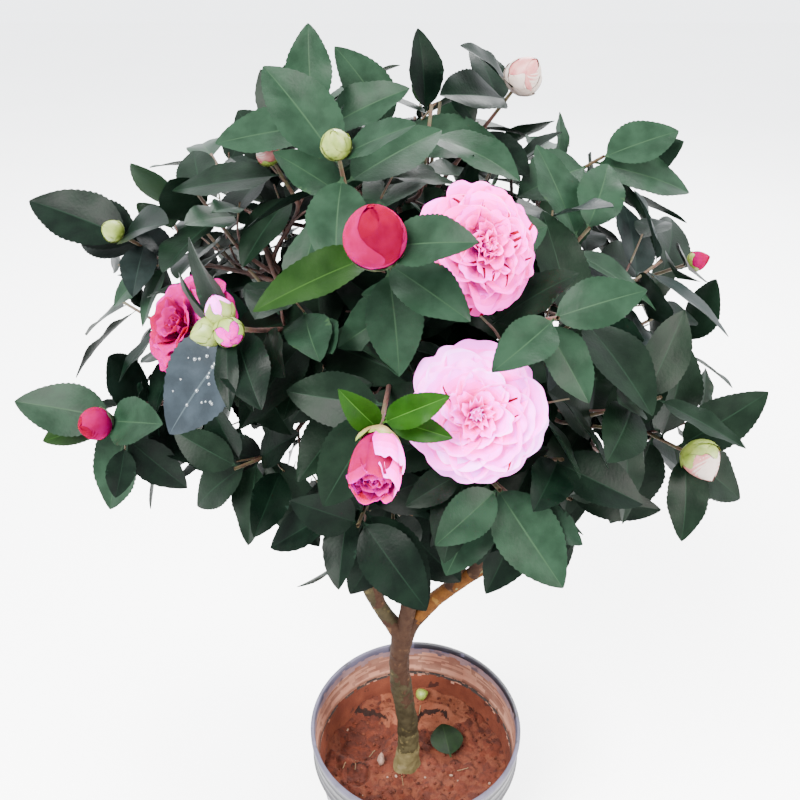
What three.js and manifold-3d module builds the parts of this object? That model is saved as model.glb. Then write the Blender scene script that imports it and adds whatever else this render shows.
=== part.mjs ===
// A camellia trained as a small tree, in bloom, in its nursery pot.
// The crown grows by a seeded rule: a trunk forks into boughs, each bough carries one mass of foliage, and each
// mass is a stem with twigs whose tips hold a whorl of leaves and often a bud or a bloom.

import * as THREE from "three";
import { ConvexGeometry } from "three/addons/geometries/ConvexGeometry.js";
import { mergeVertices } from "three/addons/utils/BufferGeometryUtils.js";
import Module from "manifold-3d";

const wasm = await Module();
wasm.setup();

// Sizes are in millimetres and angles in degrees. +Z is up, -Y is the front, the origin is under the pot's middle.
// An azimuth turns about +Z from +X, so 180 is the left side and 270 is the front.
const GAP = 0.3; // clearance between neighbouring solids
const SHORTEST_EDGE = 0.02; // finer slivers of the fused foliage are closed up

const POT = {
  height: 220,
  rimRadius: 125,
  sides: 32,
  bandRadius: 123.4, // the upright band under the rim
  bandHeight: 44,
  shoulderRadius: 119.5, // the tapered wall, where it meets the band
  baseRadius: 97,
  wall: 2.6,
  floor: 4,
};
const SOIL_TOP = 140;

const TRUNK = {
  base: new THREE.Vector3(-11, 0, SOIL_TOP + GAP),
  fork: new THREE.Vector3(-16, 0, 366),
  baseRadius: 13,
  forkRadius: 10.8,
  flare: 4, // how far the root flare stands out at the soil
  flareHeight: 16,
  sway: 4, // sideways swing of the stem between soil and fork
  sunk: 6, // how far the curve starts below the flat cut
  sides: 12,
  steps: 11,
};
const BOUGH = {
  sides: 6,
  steps: 6,
  thinSides: 5, // the thin ones leave another bough
  thinSteps: 5,
  end: 4.6,
  thinEnd: 3.4,
  thickest: 6.4, // of the thin ones, where they leave
  parentShare: 0.8, // no thicker there than this share of the limb that bears them
  setOff: 0.42, // lengths of the curve's end tangents, as shares of its span
  arrive: 0.34,
};
const SOIL = { rings: 3, level: 38, clods: 60, crumbled: 6 }; // level round the stem, with clods beyond

// Profiles as [radius, height] shares of the bloom's or the bud's radius.
const BLOOM = {
  sides: 16,
  petals: 8,
  scallop: 0.06,
  profile: [[0, -0.34], [0.2, -0.26], [0.3, -0.1], [0.98, 0.1], [1, 0.22], [0.62, 0.36], [0.4, 0.5], [0, 0.52]],
};
const BELL = [[0, -0.1], [0.34, 0], [0.44, 0.5], [0.8, 1.3], [1, 1.9], [0.86, 2.1], [0, 1.9]];
const HANG_FALL = -0.45;
const BUD = { sides: 6, profile: [[0, -0.15], [0.62, 0.1], [1, 0.85], [0.8, 1.7], [0, 2.3]] };
const CLUSTER = { first: 100, lean: 1.1, apart: 0.3 };

// The envelope that the shoot tips reach, measured from the crown's centre.
const CROWN = {
  centre: new THREE.Vector3(-27, 5, 712),
  side: 294,
  depth: 240,
  above: 230,
  below: 92,
};

// Directions in which the crown falls back, and by which share of its reach.
const HOLLOWS = [
  { azimuth: 186, elevation: 10, width: 18, depth: 0.3 },
  { azimuth: 224, elevation: -8, width: 24, depth: 0.3 },
  { azimuth: 169, elevation: 36, width: 14, depth: 0.2 },
  { azimuth: 351, elevation: 20, width: 18, depth: 0.15 },
];

// One bough and one mass of foliage each. Azimuth and elevation are the mass's direction from the crown's
// centre. "from" is the limb that the bough leaves, at the share "at" of its length, and "leaves" is the
// direction in which it sets off, where that isn't straight to its mass. "end" and "arrives" give the place and
// direction of its tip.
const MASSES = [
  { name: "left", azimuth: 190, elevation: -2, from: "trunk", at: 1, leaves: [176, 54], thick: 8.8 },
  {
    name: "right",
    azimuth: 350,
    elevation: -4,
    from: "trunk",
    at: 0.98,
    leaves: [12, 62],
    arrives: [352, 60],
    end: [160, -22, 568],
    thick: 9.2,
  },
  { name: "top", azimuth: 70, elevation: 72, from: "trunk", at: 0.98, leaves: [345, 80], thick: 9.4 },
  { name: "left_upper", azimuth: 184, elevation: 38, from: "left", at: 0.55 },
  { name: "front_left", azimuth: 232, elevation: 26, from: "left", at: 0.4 },
  { name: "front_left_low", azimuth: 228, elevation: -10, from: "left", at: 0.3 },
  { name: "back_left", azimuth: 140, elevation: -3, from: "left", at: 0.25 },
  { name: "front", azimuth: 272, elevation: 12, from: "top", at: 0.3 },
  { name: "front_top", azimuth: 275, elevation: 52, from: "top", at: 0.62 },
  { name: "back", azimuth: 92, elevation: 0, from: "top", at: 0.24 },
  { name: "back_left_upper", azimuth: 125, elevation: 36, from: "top", at: 0.5 },
  { name: "back_right_upper", azimuth: 58, elevation: 34, from: "top", at: 0.42 },
  { name: "front_right", azimuth: 313, elevation: 10, from: "right", at: 0.42 },
  { name: "right_upper", azimuth: 2, elevation: 34, from: "right", at: 0.66 },
  { name: "back_right", azimuth: 42, elevation: -4, from: "right", at: 0.3 },
  { name: "underside", azimuth: 232, elevation: -60, from: "left", at: 0.12, reach: 150 },
];
const SITE_SHARE = 0.72; // where a mass's middle lies between the crown's centre and its envelope
const ENTRY_SHARE = 0.4; // where a bough ends and its mass begins
const STEM_LENGTH = 58;
const STEM_RADIUS = 3;
const CELL_MARGIN = 0.4; // each mass keeps this far from the plane halfway to its neighbour

const TWIG = {
  base: 2.2,
  tip: 1.7,
  sides: 3,
  steps: 2, // in its curved part
  samples: 16, // of its curve, for the clearance tests
  clear: 3,
  starts: [0.2, 0.75], // lowest place along the stem, and the range above it
  spread: 0.618, // from one twig's place to the next, as a share of that range
  shifts: [0, 0.3, 0.6], // places and bends tried in order before a shoot is left out
  bends: [0.4, 1], // how far it sets off along its stem
  setOff: 0.34, // lengths of the curve's end tangents, as shares of its span
  arrive: 0.3,
  longest: 320,
};

const LEAF = {
  length: [64, 94],
  widthShare: 0.54,
  samples: [0.16, 0.32, 0.48, 0.65, 0.82], // where its width is tested, as shares of the length
  middle: 0.6,
  corners: [0.3, 0.72], // where the outline has its corners, as shares of the length
  corner: 1.04, // how far the corners stand out past the true outline
  fold: 0.16, // rise of the edge over the midrib, as a share of the half width
  droop: 0.1, // fall of the tip, as a share of the length
  turn: 137.5, // angle between one leaf and the next
  first: 4, // from the tip to the youngest leaf
  pitch: 10, // distance between leaves along the twig
  bare: 6, // straight twig below the oldest leaf
  lift: 34, // how steeply the youngest leaf stands up from the whorl
  liftStep: 8,
  leastLift: -8,
  young: 0.86, // length of the youngest leaf beside the others
  fresh: 0.6, // length of the leaves of this spring
  sag: 0.16, // pull of the weight on its direction
  faceUp: 0.5, // turn of its upper face to the sky
  turnScatter: 14,
  liftScatter: 16,
  emerge: 0.6, // the base lies this far out from the twig's axis
};
const BELOW_BLOOM = { first: 0.55, lift: 14 }; // its youngest leaf, in shares of the bloom's radius
const LEAF_CLEAR = 7; // between leaves of different shoots
const LEAF_CLEAR_NEAR = 4.5; // between leaves of one shoot
const LIMB_CLEAR = 10; // between a leaf and the bark
const TWIG_CLEAR = 3.6; // between a leaf and the axis of another shoot's twig
const AIMS = [0, 25, -25, 50, -50, 75, -75]; // turns tried in order before a leaf is left out

const SHOOTS = {
  outer: 74,
  inner: 32,
  innerShare: 0.64, // reach of the inner layer beside the outer one
  lowest: -30,
  turn: 137.508,
  azimuthScatter: 16,
  elevationScatter: 8,
  reach: [0.9, 1.06],
  rise: 0.45, // turn of the tips to the sky
  leaves: [5, 7],
  spacing: 50, // from the shoots that are placed by hand
};
const BLOOM_VIEW = 150; // no leaf stands in front of a bloom for this far
const BLOOM_NEAR = { middle: 0.68, fall: 0.36 }; // the same for a leaf that veils one, less at the bloom's edge

// Shoots that end in a bloom or a bud, or whose leaves stand out, in the places where they show.
// "leaves" lists the bearings of their leaves round the shoot, seen from outside: 0 is right and 90 is up. The
// first few of them may be fresh ones, and "lengths" is the range of length of those that differ from the rest.
// "veils" numbers the leaves that may hang before a bloom. The leaves of a shoot that "roams" may leave the space
// of its mass.
const BLOSSOM = [
  { name: "front_bloom", at: [30, -228, 806], faces: [265, 33], bloom: 45, leaves: [15, 140, 200, 340] },
  { name: "upper_bloom", at: [34, -160, 890], faces: [297, 30], bloom: 43, leaves: [75, 355] },
  { name: "left_bloom", at: [-176, -110, 806], faces: [222, 34], bloom: 42, leaves: [150, 40, 265] },
  {
    name: "half_open",
    at: [-31, -264, 816],
    faces: [266, 10],
    hanging: 24,
    fresh: 3,
    leaves: [115, 45, 10, 235, 170],
    veils: [1, 2],
    roams: true,
  },
  {
    name: "red_bud",
    at: [-31, -215, 915],
    faces: [262, 40],
    bud: 17.5,
    lengths: [64, 90],
    leaves: [12, 210, 185, 328, 290],
    veils: [0, 3],
    roams: true,
  },
  {
    name: "bud_cluster",
    at: [-132, -192, 850],
    faces: [245, 30],
    bud: 9,
    cluster: 3,
    leaves: [305, 350, 235],
    roams: true,
  },
  {
    name: "far_left_bud",
    at: [-272, -62, 690],
    faces: [246, 22],
    bud: 13.5,
    lengths: [84, 98],
    leaves: [30, 165, 198, 250],
  },
  { name: "green_bud", at: [-60, -112, 938], faces: [262, 55], bud: 9.5, leaves: [20, 150, 215, 95] },
  {
    name: "yellow_bud",
    at: [-252, 0, 836],
    faces: [238, 40],
    bud: 8.5,
    lengths: [84, 98],
    leaves: [20, 160, 192, 250],
  },
  { name: "white_bud", at: [72, 20, 950], faces: [310, 50], bud: 13.5, leaves: [150, 250, 80] },
  { name: "right_red_bud", at: [240, 40, 792], faces: [335, 30], bud: 8.5, leaves: [185, 230, 330, 130] },
  {
    name: "low_right_bud",
    at: [216, -112, 692],
    faces: [295, 12],
    bud: 14.5,
    lengths: [82, 98],
    leaves: [175, 52, 320, 112, 240],
  },
  { name: "right_green_bud", at: [95, -125, 788], faces: [300, 10], bud: 9, leaves: [45, 150, 250] },
  { name: "low_front", at: [48, -232, 748], faces: [280, 20], leaves: [172, 322, 262] },
  { name: "pink_bud", at: [-116, -25, 905], faces: [225, 60], bud: 9, leaves: [160, 220, 60, 300] },
  { name: "upper_middle", at: [-86, -138, 815], faces: [250, 38], leaves: [170, 250, 330, 40, 110] },
  { name: "middle", at: [-46, -165, 778], faces: [262, 35], leaves: [205, 290, 350, 120] },
  { name: "middle_left", at: [-108, -186, 748], faces: [242, 25], leaves: [178, 250, 300, 20, 110] },
  { name: "middle_right", at: [138, -138, 735], faces: [302, 25], leaves: [10, 90, 170, 240, 310] },
  { name: "low_left", at: [-150, -130, 690], faces: [232, 12], leaves: [150, 220, 280, 340, 60] },
  { name: "top_leaf", at: [-84, -30, 940], faces: [255, 40], leaves: [100, 200, 330] },
  { name: "top_pair", at: [-24, 10, 922], faces: [270, 40], leaves: [150, 22, 262] },
  { name: "top_right", at: [150, 30, 892], faces: [300, 35], lengths: [82, 96], leaves: [18, 335, 150, 230] },
  {
    name: "front_veil",
    at: [79, -210, 865],
    faces: [285, 30],
    lengths: [58, 74],
    leaves: [200, 20, 300],
    veils: [0],
    roams: true,
  },
];

const FALLEN = {
  leafAt: [40, 28],
  leafLength: 52,
  leafAzimuth: 100,
  widthShare: 0.8,
  budAt: [4, 94],
  budAzimuth: 20,
  budRadius: 7,
  drop: 40, // they start half of this above the soil's level
  settling: 6,
};

const UP = new THREE.Vector3(0, 0, 1);
const nearest = new THREE.Vector3(); // scratch point of the clearance tests
const rad = THREE.MathUtils.degToRad;

// Draws in [0, 1) that are the same on every run.
function seededDraws(seed) {
  let state = seed >>> 0;
  return () => {
    state = (state + 0x6d2b79f5) >>> 0;
    let t = Math.imul(state ^ (state >>> 15), state | 1);
    t ^= t + Math.imul(t ^ (t >>> 7), t | 61);
    return ((t ^ (t >>> 14)) >>> 0) / 4294967296;
  };
}

function direction(azimuth, elevation) {
  const [a, e] = [rad(azimuth), rad(elevation)];
  return new THREE.Vector3(Math.cos(a) * Math.cos(e), Math.sin(a) * Math.cos(e), Math.sin(e));
}

// Two unit vectors square to an axis: the first is level, the second points up as far as it can.
function across(axis) {
  const level = new THREE.Vector3().crossVectors(UP, axis).normalize();
  return [level, new THREE.Vector3().crossVectors(axis, level)];
}

// Distance from the crown's centre to its envelope in a direction.
function reachAlong(dir) {
  const height = dir.z > 0 ? CROWN.above : CROWN.below;
  return 1 / Math.hypot(dir.x / CROWN.side, dir.y / CROWN.depth, dir.z / height);
}

// The share of its reach that a shoot keeps in a direction, beside the hollows.
function fallBack(dir) {
  return HOLLOWS.reduce((share, { azimuth, elevation, width, depth }) => {
    const away = THREE.MathUtils.radToDeg(dir.angleTo(direction(azimuth, elevation)));
    return share - depth * Math.exp(-((away / width) ** 2));
  }, 1);
}

function solidOf(geometry) {
  const bare = geometry.clone();
  bare.deleteAttribute("normal");
  bare.deleteAttribute("uv");
  const merged = mergeVertices(bare, 1e-4);
  const corners = merged.index.array;
  const kept = [];
  for (let i = 0; i < corners.length; i += 3) {
    const [a, b, c] = corners.slice(i, i + 3);
    if (a !== b && b !== c && c !== a) kept.push(a, b, c);
  }
  const vertProperties = merged.attributes.position.array;
  return new wasm.Manifold(new wasm.Mesh({ numProp: 3, vertProperties, triVerts: new Uint32Array(kept) }));
}

function geometryOf(solid) {
  const mesh = solid.getMesh();
  const geometry = new THREE.BufferGeometry();
  geometry.setAttribute("position", new THREE.BufferAttribute(mesh.vertProperties, 3));
  geometry.setIndex(new THREE.BufferAttribute(mesh.triVerts, 1));
  geometry.computeVertexNormals();
  return geometry;
}

const joined = (solids) => wasm.Manifold.union(solids);

// The stem from the soil to the fork, with its sideways sway.
class TrunkCurve extends THREE.Curve {
  getPoint(t, target = new THREE.Vector3()) {
    target.lerpVectors(TRUNK.base, TRUNK.fork, t);
    target.z -= TRUNK.sunk * (1 - t);
    target.x += TRUNK.sway * Math.sin(2 * Math.PI * t);
    return target;
  }
}

function trunkRadius(t) {
  const height = t * (TRUNK.fork.z - TRUNK.base.z);
  const flare = TRUNK.flare * Math.exp(-height / TRUNK.flareHeight);
  return THREE.MathUtils.lerp(TRUNK.baseRadius, TRUNK.forkRadius, t) + flare;
}

const pointsOn = (curve, steps) => Array.from({ length: steps + 1 }, (_, i) => curve.getPoint(i / steps));

// A tapering tube through points: a cylinder whose rings are moved on to them, without twist.
function tube(points, radiusAt, sides) {
  const steps = points.length - 1;
  const tangents = points.map((_, i) =>
    points[Math.min(i + 1, steps)].clone().sub(points[Math.max(i - 1, 0)]).normalize(),
  );
  const normals = [across(tangents[0])[0]];
  for (let i = 1; i <= steps; i++) {
    const normal = normals[i - 1].clone();
    normals.push(normal.addScaledVector(tangents[i], -normal.dot(tangents[i])).normalize());
  }
  const geometry = new THREE.CylinderGeometry(1, 1, 1, sides, steps);
  const at = geometry.attributes.position;
  for (let i = 0; i < at.count; i++) {
    const ring = Math.round((at.getY(i) + 0.5) * steps);
    const radius = radiusAt(ring / steps);
    const binormal = new THREE.Vector3().crossVectors(tangents[ring], normals[ring]);
    const point = points[ring].clone();
    point.addScaledVector(normals[ring], at.getX(i) * radius).addScaledVector(binormal, -at.getZ(i) * radius);
    at.setXYZ(i, point.x, point.y, point.z);
  }
  return solidOf(geometry);
}

// Every limb as a curve with a radius, the trunk first and each bough after the limb that bears it.
function growLimbs() {
  const limbs = new Map();
  limbs.set("trunk", { curve: new TrunkCurve(), radiusAt: trunkRadius });
  for (const mass of MASSES) {
    const parent = limbs.get(mass.from);
    const start = parent.curve.getPoint(mass.at);
    const outward = direction(mass.azimuth, mass.elevation);
    const reach = mass.reach ?? reachAlong(outward);
    const entry = mass.end
      ? new THREE.Vector3(...mass.end)
      : CROWN.centre.clone().addScaledVector(outward, reach * ENTRY_SHARE);
    const span = start.distanceTo(entry);
    const along = parent.curve.getTangent(Math.min(mass.at, 1));
    const setOff = mass.leaves
      ? direction(...mass.leaves)
      : entry.clone().sub(start).normalize().add(along).normalize();
    const tipward = mass.arrives
      ? direction(...mass.arrives)
      : entry.clone().sub(start).normalize().add(outward).normalize();
    const curve = new THREE.CubicBezierCurve3(
      start,
      start.clone().addScaledVector(setOff, span * BOUGH.setOff),
      entry.clone().addScaledVector(tipward, -span * BOUGH.arrive),
      entry,
    );
    const points = pointsOn(curve, mass.thick ? BOUGH.steps : BOUGH.thinSteps);
    const arrive = entry.clone().sub(points.at(-2)).normalize();
    const thick = mass.thick ?? Math.min(BOUGH.thickest, parent.radiusAt(mass.at) * BOUGH.parentShare);
    const end = mass.thick ? BOUGH.end : BOUGH.thinEnd;
    const radiusAt = (t) => THREE.MathUtils.lerp(thick, end, t);
    const sides = mass.thick ? BOUGH.sides : BOUGH.thinSides;
    limbs.set(mass.name, { curve, radiusAt, points, sides, outward, reach, entry, arrive });
  }
  return limbs;
}

const limbs = growLimbs();

// Points on every limb's axis, with the bark's radius there, for the clearance tests.
const barkPoints = [...limbs.values()].flatMap(({ curve, radiusAt }) =>
  Array.from({ length: 33 }, (_, i) => ({ point: curve.getPoint(i / 32), radius: radiusAt(i / 32) })),
);

// The middle of each mass. A point belongs to the mass whose middle is nearest.
const sites = MASSES.map(({ name }) => {
  const { outward, reach } = limbs.get(name);
  return CROWN.centre.clone().addScaledVector(outward, reach * SITE_SHARE);
});

const nearestMass = (point) =>
  sites.reduce((best, site, i) => (site.distanceTo(point) < sites[best].distanceTo(point) ? i : best), 0);

function inSpace(point, mass, margin = CELL_MARGIN) {
  const own = sites[mass];
  return sites.every((site, i) => {
    if (i === mass) return true;
    const apart = site.distanceTo(own);
    const past = (point.distanceToSquared(site) - point.distanceToSquared(own)) / (2 * apart);
    return past > margin;
  });
}

const clearOfBark = (point, clearance) =>
  barkPoints.every((bark) => bark.point.distanceTo(point) > bark.radius + clearance);

// The shoots of the rule: evenly spread over the envelope, an outer layer and a sparser one inside it.
function latticeShoots(count, share, seed) {
  const draw = seededDraws(seed);
  const lowest = Math.sin(rad(SHOOTS.lowest));
  return Array.from({ length: count }, (_, i) => {
    const rise = lowest + (1 - lowest) * ((i + 0.5) / count);
    const azimuth = i * SHOOTS.turn + SHOOTS.azimuthScatter * (draw() - 0.5);
    const elevation = THREE.MathUtils.radToDeg(Math.asin(rise)) + SHOOTS.elevationScatter * (draw() - 0.5);
    const outward = direction(azimuth, elevation);
    const scatter = THREE.MathUtils.lerp(...SHOOTS.reach, draw());
    const reach = reachAlong(outward) * fallBack(outward) * share * scatter;
    const tip = CROWN.centre.clone().addScaledVector(outward, reach);
    const axis = outward.clone().addScaledVector(UP, SHOOTS.rise).normalize();
    const roll = 360 * draw();
    const [fewest, most] = SHOOTS.leaves;
    const leafCount = fewest + Math.floor((most - fewest + 1) * draw());
    const leaves = Array.from({ length: leafCount }, (_, k) => roll + k * LEAF.turn);
    return { tip, axis, leaves, seed: seed * 1000 + i };
  });
}

const firstLeaf = (shoot) => LEAF.first + (shoot.bloom ?? 0) * BELOW_BLOOM.first;
const leafyLength = (shoot) => firstLeaf(shoot) + LEAF.pitch * (shoot.leaves.length - 1) + LEAF.bare;

// The corners of a shoot's twig: curved from its mass's stem, then straight where it bears its leaves. The
// result is null where no way is free.
function twigPoints(shoot, mass, place) {
  const { entry, arrive } = limbs.get(MASSES[mass].name);
  const knee = shoot.tip.clone().addScaledVector(shoot.axis, -leafyLength(shoot));
  for (const bend of TWIG.bends) {
    for (const shift of TWIG.shifts) {
      const start = entry.clone().addScaledVector(arrive, ((place + shift) % 1) * STEM_LENGTH);
      const span = start.distanceTo(knee);
      const setOff = knee.clone().sub(start).normalize().addScaledVector(arrive, bend).normalize();
      const curve = new THREE.CubicBezierCurve3(
        start,
        start.clone().addScaledVector(setOff, span * TWIG.setOff),
        knee.clone().addScaledVector(shoot.axis, -span * TWIG.arrive),
        knee,
      );
      const fine = pointsOn(curve, TWIG.samples).concat(shoot.tip);
      const free = (point) => inSpace(point, mass, TWIG.base) && clearOfBark(point, TWIG.clear);
      if (fine.every(free)) return [...pointsOn(curve, TWIG.steps), shoot.tip];
    }
  }
  return null;
}

const segmentsOf = (points) => points.slice(1).map((end, i) => new THREE.Line3(points[i], end));

function growShoots() {
  const chosen = BLOSSOM.map((shoot, i) => ({
    ...shoot,
    tip: new THREE.Vector3(...shoot.at),
    axis: direction(...shoot.faces),
    seed: i + 1,
  }));
  const rule = [
    ...latticeShoots(SHOOTS.outer, 1, 7),
    ...latticeShoots(SHOOTS.inner, SHOOTS.innerShare, 11),
  ];
  const free = rule.filter(({ tip }) =>
    chosen.every((shoot) => shoot.tip.distanceTo(tip) > SHOOTS.spacing + (shoot.bloom ?? 0) / 2),
  );
  const counts = MASSES.map(() => 0);
  return [...chosen, ...free]
    .map((shoot) => {
      const mass = nearestMass(shoot.tip);
      const place = TWIG.starts[0] + TWIG.starts[1] * ((counts[mass]++ * TWIG.spread) % 1);
      return { ...shoot, mass, twig: twigPoints(shoot, mass, place) };
    })
    .filter((shoot) => shoot.twig)
    .map((shoot) => ({ ...shoot, segments: segmentsOf(shoot.twig) }));
}

// A leaf's place: where it leaves the twig, the way it points, the way its upper face looks, and its size.
function aimLeaf(shoot, k, turn, draws) {
  const [right, up] = across(shoot.axis);
  const bearing = rad(shoot.leaves[k] + turn + LEAF.turnScatter * (draws.turn - 0.5));
  const steepest = shoot.bloom ? BELOW_BLOOM.lift : LEAF.lift;
  const held = Math.max(LEAF.leastLift, steepest - LEAF.liftStep * k);
  const lift = rad(held + LEAF.liftScatter * (draws.lift - 0.5));
  const along = new THREE.Vector3()
    .addScaledVector(right, Math.cos(bearing) * Math.cos(lift))
    .addScaledVector(up, Math.sin(bearing) * Math.cos(lift))
    .addScaledVector(shoot.axis, Math.sin(lift))
    .addScaledVector(UP, -LEAF.sag)
    .normalize();
  const face = shoot.axis.clone().addScaledVector(UP, LEAF.faceUp);
  face.addScaledVector(along, -face.dot(along)).normalize();
  const out = along.clone().addScaledVector(shoot.axis, -along.dot(shoot.axis)).normalize();
  const back = firstLeaf(shoot) + LEAF.pitch * k;
  const base = shoot.tip.clone().addScaledVector(shoot.axis, -back).addScaledVector(out, LEAF.emerge);
  const young = k < (shoot.fresh ?? 0) ? LEAF.fresh : k === 0 ? LEAF.young : 1;
  const length = THREE.MathUtils.lerp(...(shoot.lengths ?? LEAF.length), draws.length) * young;
  return { base, along, face, side: new THREE.Vector3().crossVectors(face, along), length };
}

// A point of a leaf: x along it from 0 to 1 and y across it, as a share of its half width.
function leafPoint(leaf, x, y, halfWidth) {
  const reachAcross = y * halfWidth * leaf.length * (leaf.widthShare ?? LEAF.widthShare);
  const lift = LEAF.fold * Math.abs(reachAcross) - LEAF.droop * leaf.length * x * x;
  return leaf.base
    .clone()
    .addScaledVector(leaf.along, x * leaf.length)
    .addScaledVector(leaf.side, reachAcross)
    .addScaledVector(leaf.face, lift);
}

const leafHalfWidth = (x) => 0.5 * Math.pow(Math.sin(Math.PI * Math.pow(x, 0.8)), 0.75);

function leafSamples(leaf) {
  const samples = [leafPoint(leaf, 1, 0, 0)];
  for (const x of LEAF.samples) {
    for (const y of [-1, -0.5, 0, 0.5, 1]) samples.push(leafPoint(leaf, x, y, leafHalfWidth(x)));
  }
  return samples;
}

// Whether a point keeps off the twigs of all the other shoots.
function clearOfTwigs(point, shoot, shoots) {
  return shoots.every((other) => {
    if (other === shoot || other.tip.distanceTo(point) > TWIG.longest) return true;
    return other.segments.every((line) => {
      line.closestPointToPoint(point, true, nearest);
      return nearest.distanceTo(point) > TWIG_CLEAR;
    });
  });
}

function blocksBloom(point, blooms, veils) {
  return blooms.some(({ tip, axis, bloom }) => {
    const apart = point.clone().sub(tip);
    const ahead = apart.dot(axis);
    const off = apart.addScaledVector(axis, -ahead).length();
    const behind = bloom * BELOW_BLOOM.first;
    const view = veils ? BLOOM_NEAR.middle * bloom - BLOOM_NEAR.fall * off : BLOOM_VIEW;
    return ahead > -behind && ahead < view && off < bloom;
  });
}

// Gives each shoot the leaves that fit: each is turned until it keeps to its space and touches nothing.
function growLeaves(shoots) {
  const placed = [];
  const blooms = shoots.filter((shoot) => shoot.bloom);
  const fits = (leaf, shoot, veils) => {
    const middle = leafPoint(leaf, LEAF.middle, 0, 0);
    for (const sample of leaf.samples) {
      if (!shoot.roams && !inSpace(sample, shoot.mass)) return false;
      if (!clearOfBark(sample, LIMB_CLEAR)) return false;
      if (blocksBloom(sample, blooms, veils)) return false;
      if (!clearOfTwigs(sample, shoot, shoots)) return false;
    }
    return placed.every((other) => {
      if (other.middle.distanceTo(middle) > (other.length + leaf.length) / 2 + LEAF_CLEAR) return true;
      const clearance = other.shoot === shoot ? LEAF_CLEAR_NEAR : LEAF_CLEAR;
      return leaf.samples.every((a) => other.samples.every((b) => a.distanceTo(b) > clearance));
    });
  };
  for (const shoot of shoots) {
    const draw = seededDraws(shoot.seed * 97 + 5);
    shoot.leaves.forEach((_, k) => {
      const draws = { turn: draw(), lift: draw(), length: draw() };
      for (const turn of AIMS) {
        const leaf = aimLeaf(shoot, k, turn, draws);
        leaf.samples = leafSamples(leaf);
        if (!fits(leaf, shoot, shoot.veils?.includes(k))) continue;
        placed.push({ ...leaf, shoot, middle: leafPoint(leaf, LEAF.middle, 0, 0) });
        break;
      }
    });
  }
  return placed;
}

// A leaf of eight faces: its outline in six corners, sharp below along the midrib and filled up to its edges.
function leafSolid(leaf) {
  const corners = [leafPoint(leaf, 0, 0, 0), leafPoint(leaf, 1, 0, 0)];
  for (const x of LEAF.corners) {
    for (const y of [-1, 1]) corners.push(leafPoint(leaf, x, y, leafHalfWidth(x) * LEAF.corner));
  }
  return solidOf(new ConvexGeometry(corners));
}

// A solid turned about an axis from a profile of [radius, height] pairs that starts and ends on it.
function turned(profile, sides, base = new THREE.Vector3(), axis = UP, shape = null) {
  const points = profile.map(([radius, height]) => new THREE.Vector2(radius, height));
  const geometry = new THREE.LatheGeometry(points, sides);
  if (shape) {
    const at = geometry.attributes.position;
    for (let i = 0; i < at.count; i++) at.setXYZ(i, ...shape(at.getX(i), at.getY(i), at.getZ(i)));
  }
  const turn = new THREE.Quaternion().setFromUnitVectors(new THREE.Vector3(0, 1, 0), axis);
  geometry.applyQuaternion(turn).translate(base.x, base.y, base.z);
  return solidOf(geometry);
}

// An open bloom: layers of petals as stacked discs with a scalloped edge, over the cup of its sepals.
function bloomSolid({ tip, axis, bloom }) {
  const profile = BLOOM.profile.map(([radius, height]) => [radius * bloom, height * bloom]);
  const scallop = (x, y, z) => {
    const outward = Math.min(1, Math.hypot(x, z) / bloom);
    const wave = 1 + BLOOM.scallop * Math.cos(BLOOM.petals * Math.atan2(z, x)) * outward;
    return [x * wave, y, z * wave];
  };
  return turned(profile, BLOOM.sides, tip, axis, scallop);
}

// A bloom half open: a bell that hangs from the tip, wider at its mouth.
function hangingSolid({ tip, axis, hanging }) {
  const profile = BELL.map(([radius, height]) => [radius * hanging, height * hanging]);
  const down = axis.clone().addScaledVector(UP, HANG_FALL).normalize();
  return turned(profile, 8, tip, down);
}

function budSolid(base, axis, radius) {
  return turned(BUD.profile.map(([r, h]) => [r * radius, h * radius]), BUD.sides, base, axis);
}

// The buds at a tip: one on its axis, or several that lean apart.
function budSolids({ tip, axis, bud, cluster = 1 }) {
  if (cluster === 1) return [budSolid(tip, axis, bud)];
  const [right, up] = across(axis);
  return Array.from({ length: cluster }, (_, i) => {
    const bearing = rad(CLUSTER.first + (360 / cluster) * i);
    const out = right.clone().multiplyScalar(Math.cos(bearing)).addScaledVector(up, Math.sin(bearing));
    const lean = axis.clone().addScaledVector(out, CLUSTER.lean).normalize();
    return budSolid(tip.clone().addScaledVector(out, bud * CLUSTER.apart), lean, bud);
  });
}

function blossomSolids(shoot) {
  if (shoot.bloom) return [bloomSolid(shoot)];
  if (shoot.hanging) return [hangingSolid(shoot)];
  return shoot.bud ? budSolids(shoot) : [];
}

const shoots = growShoots();
const leaves = growLeaves(shoots);

// One mass: its stem, the twigs that leave it, and their leaves, buds and blooms, fused into one solid.
function massSolid(mass) {
  const { entry, arrive } = limbs.get(MASSES[mass].name);
  const from = entry.clone().addScaledVector(arrive, GAP);
  const stem = new THREE.LineCurve3(from, entry.clone().addScaledVector(arrive, STEM_LENGTH));
  const pieces = [tube(pointsOn(stem, 1), (t) => THREE.MathUtils.lerp(STEM_RADIUS, TWIG.base, t), 6)];
  for (const shoot of shoots.filter((one) => one.mass === mass)) {
    const radiusAt = (t) => THREE.MathUtils.lerp(TWIG.base, TWIG.tip, t);
    pieces.push(tube(shoot.twig, radiusAt, TWIG.sides), ...blossomSolids(shoot));
    pieces.push(...leaves.filter((leaf) => leaf.shoot === shoot).map(leafSolid));
  }
  return joined(pieces).simplify(SHORTEST_EDGE);
}

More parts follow.
